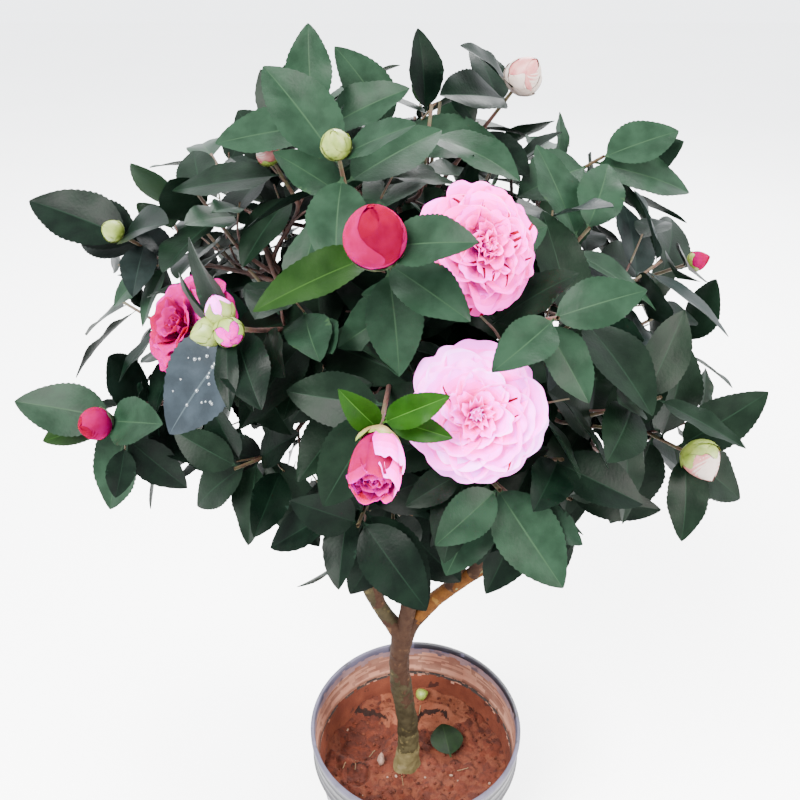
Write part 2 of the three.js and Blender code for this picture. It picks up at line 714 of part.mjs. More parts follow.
// A bough, cut back from the limb that bears it and from the boughs made before it.
function boughSolids() {
  const made = new Map([["trunk", trunkSolid()]]);
  const taken = [trunkSolid(GAP)];
  for (const { name } of MASSES) {
    const { points, radiusAt, sides } = limbs.get(name);
    const whole = tube(points, radiusAt, sides).subtract(joined(taken));
    made.set(name, largest(whole));
    taken.push(tube(points, (t) => radiusAt(t) + GAP * 1.2, sides));
  }
  return made;
}

const largest = (solid) => solid.decompose().reduce((a, b) => (a.volume() > b.volume() ? a : b));

function trunkSolid(extra = 0) {
  const { curve, radiusAt } = limbs.get("trunk");
  const sunk = tube(pointsOn(curve, TRUNK.steps), (t) => radiusAt(t) + extra, TRUNK.sides);
  return sunk.trimByPlane([0, 0, 1], SOIL_TOP + GAP - extra);
}

function potSolid() {
  const { height, rimRadius, bandRadius, bandHeight, shoulderRadius, baseRadius, wall, floor } = POT;
  const band = height - bandHeight;
  const profile = [
    [0, 0],
    [baseRadius - 3, 0],
    [baseRadius, 3],
    [shoulderRadius, band - 4],
    [bandRadius - 1, band],
    [bandRadius, height - 9],
    [rimRadius, height - 7],
    [rimRadius, height - 2],
    [rimRadius - 1.5, height],
    [bandRadius - wall, height],
    [bandRadius - wall - 0.6, band + 2],
    [shoulderRadius - wall, band - 3],
    [innerWall(floor), floor],
    [0, floor],
  ];
  return turned(profile, POT.sides, new THREE.Vector3(), UP);
}

// The inner radius of the pot's tapered wall at a height.
function innerWall(height) {
  const { shoulderRadius, baseRadius, wall, bandHeight } = POT;
  const rise = (height - 3) / (POT.height - bandHeight - 7);
  return THREE.MathUtils.lerp(baseRadius, shoulderRadius, rise) - wall;
}

// Height of the soil's surface: low clods, level where the stem stands.
function soilHeight(x, y) {
  const clods = 2.2 * Math.sin(x / 15 + 0.8) * Math.cos(y / 19) + 1.4 * Math.sin((x - y) / 9) - 1.5;
  return SOIL_TOP + clods * THREE.MathUtils.smoothstep(Math.hypot(x, y), SOIL.level, SOIL.clods);
}

function soilSolid() {
  const edge = (height) => innerWall(height) - GAP;
  const bottom = POT.floor + GAP;
  const shoulder = SOIL_TOP - SOIL.crumbled;
  const profile = [[0, bottom], [edge(bottom), bottom], [edge(shoulder), shoulder]];
  for (let ring = SOIL.rings; ring >= 0; ring--) {
    profile.push([(edge(SOIL_TOP) - 1) * (ring / SOIL.rings), SOIL_TOP]);
  }
  const shape = (x, y, z) => [x, y > SOIL_TOP - 1 ? soilHeight(x, -z) : y, z];
  return turned(profile, POT.sides, new THREE.Vector3(), UP, shape);
}

// Lowers a piece until it lies just clear of the ground.
function settled(piece, ground) {
  for (let step = 0; step < FALLEN.settling; step++) {
    piece = piece.translate([0, 0, GAP - piece.minGap(ground, FALLEN.drop)]);
  }
  return piece;
}

// A round leaf and a bud that have dropped on to the soil.
function fallenSolids(ground) {
  const above = SOIL_TOP + FALLEN.drop / 2;
  const along = direction(FALLEN.leafAzimuth, THREE.MathUtils.radToDeg(Math.atan(LEAF.droop)));
  const side = new THREE.Vector3().crossVectors(UP, along).normalize();
  const face = new THREE.Vector3().crossVectors(along, side);
  const middle = new THREE.Vector3(...FALLEN.leafAt, above);
  const length = FALLEN.leafLength;
  const base = middle.addScaledVector(along, -length / 2);
  const leaf = leafSolid({ base, along, side, face, length, widthShare: FALLEN.widthShare });
  const budBase = new THREE.Vector3(...FALLEN.budAt, above);
  const bud = budSolid(budBase, direction(FALLEN.budAzimuth, 0), FALLEN.budRadius);
  return { fallen_leaf: settled(leaf, ground), fallen_bud: settled(bud, ground) };
}

const COLOURS = {
  pot: 0x24222a,
  soil: 0x8a4530,
  trunk: 0x6b5a3a,
  bough: 0x85592f,
  foliage: 0x1f4a2c,
  fallen: 0x4f7d3a,
};

const group = new THREE.Group();

function addPart(name, solid) {
  const color = COLOURS[name.split("_")[0]];
  const mesh = new THREE.Mesh(geometryOf(solid), new THREE.MeshStandardMaterial({ color, roughness: 0.7 }));
  mesh.name = name;
  group.add(mesh);
}

const soil = soilSolid();
addPart("pot", potSolid());
addPart("soil", soil);
for (const [name, solid] of boughSolids()) addPart(name === "trunk" ? name : `bough_${name}`, solid);
MASSES.forEach(({ name }, mass) => addPart(`foliage_${name}`, massSolid(mass)));
for (const [name, solid] of Object.entries(fallenSolids(soil))) addPart(name, solid);

export default group;
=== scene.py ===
"""The looks of the potted camellia: leaves, twigs, blooms, buds, bark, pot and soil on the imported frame.

The growth rule of the CAD source is written again here, in the same millimetres, so that the leaves stand
where their solids do; finer twigs and leaves are then added within the same reach. Meshes are turned to
metres when made.
"""
import math

import bpy
import numpy as np
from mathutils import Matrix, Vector


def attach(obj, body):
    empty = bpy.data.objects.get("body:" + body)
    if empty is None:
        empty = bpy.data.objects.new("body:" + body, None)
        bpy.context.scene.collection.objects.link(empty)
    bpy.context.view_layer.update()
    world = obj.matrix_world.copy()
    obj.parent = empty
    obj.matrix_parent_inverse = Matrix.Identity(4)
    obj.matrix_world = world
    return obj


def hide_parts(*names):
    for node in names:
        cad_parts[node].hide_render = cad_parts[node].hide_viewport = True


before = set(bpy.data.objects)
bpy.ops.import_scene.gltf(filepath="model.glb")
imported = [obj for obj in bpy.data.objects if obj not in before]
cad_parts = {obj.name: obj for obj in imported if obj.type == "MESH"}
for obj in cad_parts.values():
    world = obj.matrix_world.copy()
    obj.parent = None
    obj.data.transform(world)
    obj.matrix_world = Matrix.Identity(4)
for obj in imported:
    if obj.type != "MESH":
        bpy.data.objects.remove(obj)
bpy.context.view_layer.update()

MM = 0.001  # metres in a millimetre
UP = np.array([0.0, 0.0, 1.0])
EYE = np.array([-18.5, -706.9, 1118.0])  # where the photograph was taken from

# The growth rule's sizes, in millimetres and degrees, as in the CAD source
GAP = 0.3
SOIL_TOP = 140.0
TRUNK = dict(
    base=np.array([-11.0, 0.0, SOIL_TOP + GAP]),
    fork=np.array([-16.0, 0.0, 366.0]),
    base_radius=13,
    fork_radius=10.8,
    flare=4.0,
    flare_height=16.0,
    sway=4.0,
    sunk=6.0,
)
BOUGH = dict(
    steps=6, thin_steps=5, end=4.6, thin_end=3.4, thickest=6.4, parent_share=0.8, set_off=0.42, arrive=0.34,
)
CROWN = dict(centre=np.array([-27.0, 5.0, 712.0]), side=294.0, depth=240.0, above=230.0, below=92.0)
HOLLOWS = [(186, 10, 18, 0.3), (224, -8, 24, 0.3), (169, 36, 14, 0.2), (351, 20, 18, 0.15)]
SITE_SHARE = 0.72
ENTRY_SHARE = 0.4
STEM_LENGTH = 58.0
STEM_RADIUS = 3.0
CELL_MARGIN = 0.4
MASSES = [
    dict(name="left", azimuth=190, elevation=-2, bearer="trunk", at=1, leaves=(176, 54), thick=8.8),
    dict(
        name="right", azimuth=350, elevation=-4, bearer="trunk", at=0.98, leaves=(12, 62), thick=9.2,
        arrives=(352, 60), end=(160, -22, 568),
    ),
    dict(name="top", azimuth=70, elevation=72, bearer="trunk", at=0.98, leaves=(345, 80), thick=9.4),
    dict(name="left_upper", azimuth=184, elevation=38, bearer="left", at=0.55),
    dict(name="front_left", azimuth=232, elevation=26, bearer="left", at=0.4),
    dict(name="front_left_low", azimuth=228, elevation=-10, bearer="left", at=0.3),
    dict(name="back_left", azimuth=140, elevation=-3, bearer="left", at=0.25),
    dict(name="front", azimuth=272, elevation=12, bearer="top", at=0.3),
    dict(name="front_top", azimuth=275, elevation=52, bearer="top", at=0.62),
    dict(name="back", azimuth=92, elevation=0, bearer="top", at=0.24),
    dict(name="back_left_upper", azimuth=125, elevation=36, bearer="top", at=0.5),
    dict(name="back_right_upper", azimuth=58, elevation=34, bearer="top", at=0.42),
    dict(name="front_right", azimuth=313, elevation=10, bearer="right", at=0.42),
    dict(name="right_upper", azimuth=2, elevation=34, bearer="right", at=0.66),
    dict(name="back_right", azimuth=42, elevation=-4, bearer="right", at=0.3),
    dict(name="underside", azimuth=232, elevation=-60, bearer="left", at=0.12, reach=150),
]
TWIG = dict(
    base=2.2, tip=1.4, steps=2, samples=16, clear=3, starts=(0.2, 0.75), spread=0.618, shifts=(0, 0.3, 0.6),
    bends=(0.4, 1), set_off=0.34, arrive=0.3, longest=320,
)
LEAF = dict(
    length=(64, 94), width_share=0.54, fold=0.16, droop=0.1, turn=137.5, first=4, pitch=10, bare=6, lift=34,
    lift_step=8, least_lift=-8, young=0.86, fresh=0.6, sag=0.16, face_up=0.5, turn_scatter=14,
    lift_scatter=16, emerge=0.6, middle=0.6, samples=(0.16, 0.32, 0.48, 0.65, 0.82),
)
BELOW_BLOOM = dict(first=0.55, lift=14)
LEAF_REACH = 100
LEAF_CLEAR = 7
LEAF_CLEAR_NEAR = 4.5
LIMB_CLEAR = 10
TWIG_CLEAR = 3.6
AIMS = (0, 25, -25, 50, -50, 75, -75)
SHOOTS = dict(
    outer=74, outer_seed=7, inner=32, inner_seed=11, inner_share=0.64, lowest=-30, turn=137.508,
    azimuth_scatter=16, elevation_scatter=8, reach=(0.9, 1.06), rise=0.45, leaves=(5, 7), spacing=50,
)
BLOOM_VIEW = 150
BLOOM_NEAR = (0.68, 0.36)
BLOSSOM = [
    dict(name="front_bloom", at=(30, -228, 806), faces=(265, 33), bloom=45, leaves=(15, 140, 200, 340)),
    dict(name="upper_bloom", at=(34, -160, 890), faces=(297, 30), bloom=43, leaves=(75, 355)),
    dict(name="left_bloom", at=(-176, -110, 806), faces=(222, 34), bloom=42, leaves=(150, 40, 265)),
    dict(
        name="half_open", at=(-31, -264, 816), faces=(266, 10), hanging=24, new=3, veils=(1, 2), roams=True,
        leaves=(115, 45, 10, 235, 170),
    ),
    dict(
        name="red_bud", at=(-31, -215, 915), faces=(262, 40), bud=17.5, lengths=(64, 90),
        leaves=(12, 210, 185, 328, 290), veils=(0, 3), roams=True,
    ),
    dict(
        name="bud_cluster", at=(-132, -192, 850), faces=(245, 30), bud=9, cluster=3, leaves=(305, 350, 235),
        roams=True,
    ),
    dict(
        name="far_left_bud", at=(-272, -62, 690), faces=(246, 22), bud=13.5, lengths=(84, 98),
        leaves=(30, 165, 198, 250),
    ),
    dict(name="green_bud", at=(-60, -112, 938), faces=(262, 55), bud=9.5, leaves=(20, 150, 215, 95)),
    dict(
        name="yellow_bud", at=(-252, 0, 836), faces=(238, 40), bud=8.5, lengths=(84, 98),
        leaves=(20, 160, 192, 250),
    ),
    dict(name="white_bud", at=(72, 20, 950), faces=(310, 50), bud=13.5, leaves=(150, 250, 80)),
    dict(name="right_red_bud", at=(240, 40, 792), faces=(335, 30), bud=8.5, leaves=(185, 230, 330, 130)),
    dict(
        name="low_right_bud", at=(216, -112, 692), faces=(295, 12), bud=14.5, lengths=(82, 98),
        leaves=(175, 52, 320, 112, 240),
    ),
    dict(name="right_green_bud", at=(95, -125, 788), faces=(300, 10), bud=9, leaves=(45, 150, 250)),
    dict(name="low_front", at=(48, -232, 748), faces=(280, 20), leaves=(172, 322, 262)),
    dict(name="pink_bud", at=(-116, -25, 905), faces=(225, 60), bud=9, leaves=(160, 220, 60, 300)),
    dict(name="upper_middle", at=(-86, -138, 815), faces=(250, 38), leaves=(170, 250, 330, 40, 110)),
    dict(name="middle", at=(-46, -165, 778), faces=(262, 35), leaves=(205, 290, 350, 120)),
    dict(name="middle_left", at=(-108, -186, 748), faces=(242, 25), leaves=(178, 250, 300, 20, 110)),
    dict(name="middle_right", at=(138, -138, 735), faces=(302, 25), leaves=(10, 90, 170, 240, 310)),
    dict(name="low_left", at=(-150, -130, 690), faces=(232, 12), leaves=(150, 220, 280, 340, 60)),
    dict(name="top_leaf", at=(-84, -30, 940), faces=(255, 40), leaves=(100, 200, 330)),
    dict(name="top_pair", at=(-24, 10, 922), faces=(270, 40), leaves=(150, 22, 262)),
    dict(
        name="top_right", at=(150, 30, 892), faces=(300, 35), lengths=(82, 96), leaves=(18, 335, 150, 230),
    ),
    dict(
        name="front_veil", at=(79, -210, 865), faces=(285, 30), lengths=(58, 74), leaves=(200, 20, 300),
        veils=(0,), roams=True,
    ),
]


def unit(vector):
    return vector / np.linalg.norm(vector)


def lerp(a, b, t):
    return a + (b - a) * t


def seeded_draws(seed):
    """Draws in [0, 1), the same as the CAD source's."""
    state = seed & 0xFFFFFFFF

    def draw():
        nonlocal state
        state = (state + 0x6D2B79F5) & 0xFFFFFFFF
        t = ((state ^ (state >> 15)) * (state | 1)) & 0xFFFFFFFF
        t ^= (t + (t ^ (t >> 7)) * (t | 61)) & 0xFFFFFFFF
        return ((t ^ (t >> 14)) & 0xFFFFFFFF) / 4294967296

    return draw


def direction(azimuth, elevation):
    a, e = math.radians(azimuth), math.radians(elevation)
    return np.array([math.cos(a) * math.cos(e), math.sin(a) * math.cos(e), math.sin(e)])


def across(axis):
    """Two unit vectors square to an axis: the first is level, the second points up as far as it can."""
    level = unit(np.cross(UP, axis))
    return level, np.cross(axis, level)


def reach_along(d):
    height = CROWN["above"] if d[2] > 0 else CROWN["below"]
    return 1 / math.hypot(d[0] / CROWN["side"], d[1] / CROWN["depth"], d[2] / height)


def fall_back(d):
    """The share of its reach that a shoot keeps in a direction, beside the hollows of the crown."""
    share = 1.0
    for azimuth, elevation, width, depth in HOLLOWS:
        away = math.degrees(math.acos(min(1, max(-1, float(d @ direction(azimuth, elevation))))))
        share -= depth * math.exp(-((away / width) ** 2))
    return share


def bezier(a, b, c, d):
    def point(t):
        s = 1 - t
        return s**3 * a + 3 * s * s * t * b + 3 * s * t * t * c + t**3 * d

    return point


def tangent(curve, t, step=0.0001):
    return unit(curve(min(t + step, 1)) - curve(max(t - step, 0)))


def points_on(curve, steps):
    return np.array([curve(i / steps) for i in range(steps + 1)])


def trunk_curve(t):
    point = lerp(TRUNK["base"], TRUNK["fork"], t)
    return point + [TRUNK["sway"] * math.sin(2 * math.pi * t), 0, -TRUNK["sunk"] * (1 - t)]


def trunk_radius(t):
    height = t * (TRUNK["fork"][2] - TRUNK["base"][2])
    flare = TRUNK["flare"] * math.exp(-height / TRUNK["flare_height"])
    return lerp(TRUNK["base_radius"], TRUNK["fork_radius"], t) + flare


def grow_limbs():
    """Every limb as a curve with a radius, the trunk first and each bough after the limb that bears it."""
    limbs = {"trunk": dict(curve=trunk_curve, radius=trunk_radius)}
    for mass in MASSES:
        parent = limbs[mass["bearer"]]
        start = parent["curve"](mass["at"])
        outward = direction(mass["azimuth"], mass["elevation"])
        reach = mass.get("reach") or reach_along(outward)
        entry = CROWN["centre"] + outward * reach * ENTRY_SHARE
        if "end" in mass:
            entry = np.array(mass["end"], float)
        span = np.linalg.norm(entry - start)
        ahead = unit(entry - start)
        set_off = unit(ahead + tangent(parent["curve"], mass["at"]))
        if "leaves" in mass:
            set_off = direction(*mass["leaves"])
        tipward = direction(*mass["arrives"]) if "arrives" in mass else unit(ahead + outward)
        curve = bezier(
            start, start + set_off * span * BOUGH["set_off"],
            entry - tipward * span * BOUGH["arrive"], entry,
        )
        steps, end, thick = BOUGH["steps"], BOUGH["end"], mass.get("thick")
        if thick is None:
            steps, end = BOUGH["thin_steps"], BOUGH["thin_end"]
            thick = min(BOUGH["thickest"], parent["radius"](mass["at"]) * BOUGH["parent_share"])
        arrive = unit(entry - curve((steps - 1) / steps))
        limbs[mass["name"]] = dict(
            curve=curve, radius=lambda t, thick=thick, end=end: lerp(thick, end, t), outward=outward,
            reach=reach, entry=entry, arrive=arrive,
        )
    return limbs


limbs = grow_limbs()
# Points along each limb that leaves and twigs keep clear of
bark_points = np.array([limb["curve"](i / 32) for limb in limbs.values() for i in range(33)])
bark_radii = np.array([limb["radius"](i / 32) for limb in limbs.values() for i in range(33)])
sites = np.array([
    CROWN["centre"] + limbs[m["name"]]["outward"] * limbs[m["name"]]["reach"] * SITE_SHARE for m in MASSES
])


def in_space(points, mass, margin=CELL_MARGIN):
    """Whether points lie nearer to a mass's site than to any other, by a margin."""
    own = sites[mass]
    others = np.delete(sites, mass, axis=0)
    to_own = ((points - own) ** 2).sum(1)[:, None]
    to_others = ((points[:, None] - others[None]) ** 2).sum(2)
    apart = np.linalg.norm(others - own, axis=1)
    return bool(((to_others - to_own) / (2 * apart) > margin).all())


def clear_of_bark(points, clearance):
    """Whether points keep a distance from the trunk and the boughs."""
    gaps = np.linalg.norm(points[:, None] - bark_points[None], axis=2)
    return bool((gaps > bark_radii + clearance).all())


def lattice_shoots(count, share, seed):
    """Shoots spread evenly over the crown, at a share of its reach."""
    draw = seeded_draws(seed)
    lowest = math.sin(math.radians(SHOOTS["lowest"]))
    shoots = []
    for i in range(count):
        rise = lowest + (1 - lowest) * ((i + 0.5) / count)
        azimuth = i * SHOOTS["turn"] + SHOOTS["azimuth_scatter"] * (draw() - 0.5)
        elevation = math.degrees(math.asin(rise)) + SHOOTS["elevation_scatter"] * (draw() - 0.5)
        outward = direction(azimuth, elevation)
        reach = outward * reach_along(outward) * fall_back(outward) * share * lerp(*SHOOTS["reach"], draw())
        tip = CROWN["centre"] + reach
        axis = unit(outward + UP * SHOOTS["rise"])
        roll = 360 * draw()
        fewest, most = SHOOTS["leaves"]
        leaves = [roll + k * LEAF["turn"] for k in range(fewest + int((most - fewest + 1) * draw()))]
        shoots.append(dict(tip=tip, axis=axis, leaves=leaves, seed=seed * 1000 + i))
    return shoots


def first_leaf(shoot):
    return LEAF["first"] + shoot.get("bloom", 0) * BELOW_BLOOM["first"]


def find_twig(shoot, mass, place):
    """The curve from a mass's stem to where the twig bears its leaves, or None where no way is free."""
    limb = limbs[MASSES[mass]["name"]]
    leafy = first_leaf(shoot) + LEAF["pitch"] * (len(shoot["leaves"]) - 1) + LEAF["bare"]
    knee = shoot["tip"] - shoot["axis"] * leafy
    for bend in TWIG["bends"]:
        for shift in TWIG["shifts"]:
            start = limb["entry"] + limb["arrive"] * ((place + shift) % 1) * STEM_LENGTH
            span = np.linalg.norm(knee - start)
            set_off = unit(unit(knee - start) + limb["arrive"] * bend)
            curve = bezier(
                start, start + set_off * span * TWIG["set_off"],
                knee - shoot["axis"] * span * TWIG["arrive"], knee,
            )
            fine = np.vstack([points_on(curve, TWIG["samples"]), shoot["tip"]])
            if in_space(fine, mass, TWIG["base"]) and clear_of_bark(fine, TWIG["clear"]):
                return curve
    return None


def grow_shoots():
    """The listed shoots and those of the rule that keep clear of them, each with its twig."""
    chosen = [
        dict(shoot, tip=np.array(shoot["at"], float), axis=direction(*shoot["faces"]), seed=i + 1)
        for i, shoot in enumerate(BLOSSOM)
    ]
    rule = lattice_shoots(SHOOTS["outer"], 1, SHOOTS["outer_seed"])
    rule += lattice_shoots(SHOOTS["inner"], SHOOTS["inner_share"], SHOOTS["inner_seed"])
    room = SHOOTS["spacing"]
    free = [
        shoot for shoot in rule
        if all(np.linalg.norm(c["tip"] - shoot["tip"]) > room + c.get("bloom", 0) / 2 for c in chosen)
    ]
    counts = [0] * len(MASSES)
    grown = []
    for shoot in chosen + free:
        mass = int(((sites - shoot["tip"]) ** 2).sum(1).argmin())
        lowest, spread = TWIG["starts"]
        place = lowest + spread * ((counts[mass] * TWIG["spread"]) % 1)
        counts[mass] += 1
        curve = find_twig(shoot, mass, place)
        if curve is not None:
            corners = np.vstack([points_on(curve, TWIG["steps"]), shoot["tip"]])
            grown.append(dict(shoot, mass=mass, curve=curve, corners=corners))
    return grown


def aim_leaf(shoot, k, turn, draws):
    """The place, directions and length of a shoot's leaf k, turned aside by an angle."""
    right, up = across(shoot["axis"])
    bearing = math.radians(shoot["leaves"][k] + turn + LEAF["turn_scatter"] * (draws[0] - 0.5))
    steepest = BELOW_BLOOM["lift"] if "bloom" in shoot else LEAF["lift"]
    held = max(LEAF["least_lift"], steepest - LEAF["lift_step"] * k)
    lift = math.radians(held + LEAF["lift_scatter"] * (draws[1] - 0.5))
    level = right * math.cos(bearing) + up * math.sin(bearing)
    along = unit(level * math.cos(lift) + shoot["axis"] * math.sin(lift) - UP * LEAF["sag"])
    face = shoot["axis"] + UP * LEAF["face_up"]
    face = unit(face - along * face.dot(along))
    out = unit(along - shoot["axis"] * along.dot(shoot["axis"]))
    back = first_leaf(shoot) + LEAF["pitch"] * k
    base = shoot["tip"] - shoot["axis"] * back + out * LEAF["emerge"]
    young = LEAF["fresh"] if k < shoot.get("new", 0) else LEAF["young"] if k == 0 else 1
    length = lerp(*shoot.get("lengths", LEAF["length"]), draws[2]) * young
    return dict(base=base, along=along, face=face, side=np.cross(face, along), length=length)


def leaf_points(leaf, x, y, half_width):
    """Points of a leaf: x along it from 0 to 1 and y across it, as a share of its half width."""
    reach = y * half_width * leaf["length"] * LEAF["width_share"]
    lift = LEAF["fold"] * np.abs(reach) - LEAF["droop"] * leaf["length"] * x * x
    return (
        leaf["base"] + np.multiply.outer(x * leaf["length"], leaf["along"])
        + np.multiply.outer(reach, leaf["side"]) + np.multiply.outer(lift, leaf["face"])
    )


def leaf_half_width(x):
    return 0.5 * np.sin(np.pi * x**0.8) ** 0.75


SAMPLE_X = np.array([1.0] + [x for x in LEAF["samples"] for _ in range(5)])
SAMPLE_Y = np.array([0.0] + [-1, -0.5, 0, 0.5, 1] * len(LEAF["samples"]))
SAMPLE_W = np.append(0.0, leaf_half_width(SAMPLE_X[1:]))


class Canopy:
    """The leaves placed so far, with the tests that keep the next one clear of them."""

    def __init__(self, shoots):
        self.shoots = shoots
        self.blooms = [shoot for shoot in shoots if "bloom" in shoot]
        self.leaves = []
        self.add_twigs(shoots)

    def add_twigs(self, shoots):
        starts = [s["corners"][:-1] for s in shoots]
        ends = [s["corners"][1:] for s in shoots]
        self.starts, self.ends = np.vstack(starts), np.vstack(ends)
        self.owners = np.concatenate([[id(s)] * (len(s["corners"]) - 1) for s in shoots])
        self.tips = np.vstack([np.tile(s["tip"], (len(s["corners"]) - 1, 1)) for s in shoots])

    def clear_of_twigs(self, points, shoot):
        within = np.linalg.norm(self.tips - points[0], axis=1) < TWIG["longest"] + LEAF_REACH
        near = (self.owners != id(shoot)) & within
        start, run = self.starts[near], (self.ends - self.starts)[near]
        t = ((points[:, None] - start) * run).sum(2) / (run**2).sum(1)
        closest = start + np.clip(t, 0, 1)[..., None] * run
        gaps = np.linalg.norm(points[:, None] - closest, axis=2)
        far = np.linalg.norm(points[:, None] - self.tips[near], axis=2) > TWIG["longest"]
        return bool(((gaps > TWIG_CLEAR) | far).all())

    def blocks_bloom(self, points, veils=False):
        for bloom in self.blooms:
            apart = points - bloom["tip"]
            ahead = apart @ bloom["axis"]
            off = np.linalg.norm(apart - np.multiply.outer(ahead, bloom["axis"]), axis=1)
            behind = bloom["bloom"] * BELOW_BLOOM["first"]
            view = BLOOM_NEAR[0] * bloom["bloom"] - BLOOM_NEAR[1] * off if veils else BLOOM_VIEW
            if ((ahead > -behind) & (ahead < view) & (off < bloom["bloom"])).any():
                return True
        return False

    def clear_of_leaves(self, leaf, shoot, clearance):
        for other in self.leaves:
            apart = np.linalg.norm(other["middle"] - leaf["middle"])
            if apart > (other["length"] + leaf["length"]) / 2 + clearance:
                continue
            limit = min(LEAF_CLEAR_NEAR, clearance) if other["shoot"] is shoot else clearance
            gaps = np.linalg.norm(leaf["samples"][:, None] - other["samples"][None], axis=2)
            if (gaps <= limit).any():
                return False
        return True

    def place(self, shoot, keep_to_space, clearance=LEAF_CLEAR):
        """Gives a shoot the leaves that fit: each is turned until it touches nothing, or else left out."""
        draw = seeded_draws(shoot["seed"] * 97 + 5)
        for k in range(len(shoot["leaves"])):
            draws = (draw(), draw(), draw())
            if k in shoot.setdefault("borne", set()):
                continue
            for turn in AIMS:
                leaf = aim_leaf(shoot, k, turn, draws)
                samples = leaf_points(leaf, SAMPLE_X, SAMPLE_Y, SAMPLE_W)
                middle = leaf_points(leaf, LEAF["middle"], 0.0, 0.0)
                leaf.update(samples=samples, middle=middle, shoot=shoot, k=k)
                if keep_to_space and not shoot.get("roams") and not in_space(samples, shoot["mass"]):
                    continue
                if not clear_of_bark(samples, LIMB_CLEAR):
                    continue
                if self.blocks_bloom(samples, k in shoot.get("veils", ())):
                    continue
                if self.clear_of_twigs(samples, shoot) and self.clear_of_leaves(leaf, shoot, clearance):
                    self.leaves.append(leaf)
                    shoot["borne"].add(k)
                    break

    def add(self, shoots):
        """Takes in finer shoots, with their twigs."""
        self.shoots = self.shoots + shoots
        self.add_twigs(self.shoots)


# The finer twigs that only the scene has
FINE = dict(
    places=(0.42, 0.6, 0.78, 0.92), scatter=0.06, length=(34, 78), leaves=(3, 5), lengths=(46, 74),
    radii=(1.25, 0.7), along=(0.3, 0.7), lean=0.9, rise=0.35, forward=0.4, knee=0.45, hang=40, clear=5.5,
    seed=5,
)


def in_envelope(points, share=1.0):
    """Whether points lie within the crown, or within a share of it."""
    apart = points - CROWN["centre"]
    height = np.where(apart[..., 2] > 0, CROWN["above"], CROWN["below"] + FINE["hang"])
    spread = (apart[..., 0] / CROWN["side"]) ** 2 + (apart[..., 1] / CROWN["depth"]) ** 2
    return bool((spread + (apart[..., 2] / height) ** 2 < share).all())


def side_shoots(shoots, rng):
    """Finer twigs that leave the grown ones, within the crown's envelope."""
    found = []
    for shoot in shoots:
        bearing = rng.uniform(0, 360)
        for place in FINE["places"]:
            t = place + rng.uniform(-FINE["scatter"], FINE["scatter"])
            start, along = shoot["curve"](t), tangent(shoot["curve"], t)
            right, up = across(along)
            bearing += LEAF["turn"]
            out = right * math.cos(math.radians(bearing)) + up * math.sin(math.radians(bearing))
            axis = unit(along * rng.uniform(*FINE["along"]) + out * FINE["lean"] + UP * FINE["rise"])
            length = rng.uniform(*FINE["length"])
            tip = start + unit(axis + along * FINE["forward"]) * length
            count = int(rng.integers(FINE["leaves"][0], FINE["leaves"][1] + 1))
            roll = rng.uniform(0, 360)
            corners = np.array([start, start + unit(along + axis) * length * FINE["knee"], tip])
            if not in_envelope(tip) or not clear_of_bark(corners[1:], TWIG["clear"]):
                continue
            found.append(dict(
                tip=tip, axis=axis, leaves=[roll + k * LEAF["turn"] for k in range(count)], corners=corners,
                seed=int(rng.integers(1, 1 << 30)), mass=shoot["mass"], lengths=FINE["lengths"], fine=True,
            ))
    return found


def grow_canopy():
    shoots = grow_shoots()
    canopy = Canopy(shoots)
    for shoot in shoots:
        canopy.place(shoot, keep_to_space=True)
    for shoot in shoots:
        canopy.place(shoot, keep_to_space=False, clearance=FINE["clear"])
    fine = side_shoots(shoots, np.random.default_rng(FINE["seed"]))
    canopy.add(fine)
    for shoot in fine:
        canopy.place(shoot, keep_to_space=False, clearance=FINE["clear"])
    return canopy


class Batch:
    """Parts of one kind, joined into one mesh. Each face has a tone: the number of its material."""

    def __init__(self):
        self.points, self.faces, self.tones, self.count = [], [], [], 0

    def add(self, points, faces, tones):
        points = np.asarray(points, float).reshape(-1, 3)
        faces = np.asarray(faces)
        if faces.shape[1] == 3:
            faces = np.hstack([faces, np.full((len(faces), 1), -1)])
        self.points.append(points)
        self.faces.append(np.where(faces < 0, -1, faces + self.count))
        self.tones.append(np.broadcast_to(np.ravel(tones), (len(faces),)).astype(np.int32))
        self.count += len(points)

    def build(self, name, materials):
        points, faces = np.vstack(self.points) * MM, np.vstack(self.faces)
        sizes = (faces >= 0).sum(1)
        mesh = bpy.data.meshes.new(name)
        mesh.vertices.add(len(points))
        mesh.vertices.foreach_set("co", points.astype(np.float32).ravel())
        mesh.loops.add(int(sizes.sum()))
        mesh.loops.foreach_set("vertex_index", faces[faces >= 0].astype(np.int32))
        mesh.polygons.add(len(faces))
        mesh.polygons.foreach_set("loop_start", (np.cumsum(sizes) - sizes).astype(np.int32))
        mesh.update(calc_edges=True)
        mesh.polygons.foreach_set("material_index", np.concatenate(self.tones))
        mesh.polygons.foreach_set("use_smooth", np.ones(len(faces), bool))
        for one in materials:
            mesh.materials.append(one)
        mesh.validate()
        piece = bpy.data.objects.new(name, mesh)
        bpy.context.scene.collection.objects.link(piece)
        return piece


def grid_faces(rows, columns, closed=False, flip=False):
    """Quads of a grid of points, row by row. A closed grid joins its last column to its first."""
    r, c = np.mgrid[0:rows - 1, 0:columns if closed else columns - 1]
    after = (c + 1) % columns
    quads = [r * columns + c, r * columns + after, (r + 1) * columns + after, (r + 1) * columns + c]
    if flip:
        quads.reverse()
    return np.stack(quads, -1).reshape(-1, 4)


def turns_round(count):
    """Angles all the way round, evenly spaced."""
    return np.linspace(0, 2 * math.pi, count, endpoint=False)


def lathed(radii, heights, sides):
    """Rings of points round the third axis."""
    turn = turns_round(sides)
    ahead, aside = np.outer(radii, np.cos(turn)), np.outer(radii, np.sin(turn))
    return np.stack([ahead, aside, np.outer(heights, np.ones(sides))], -1)


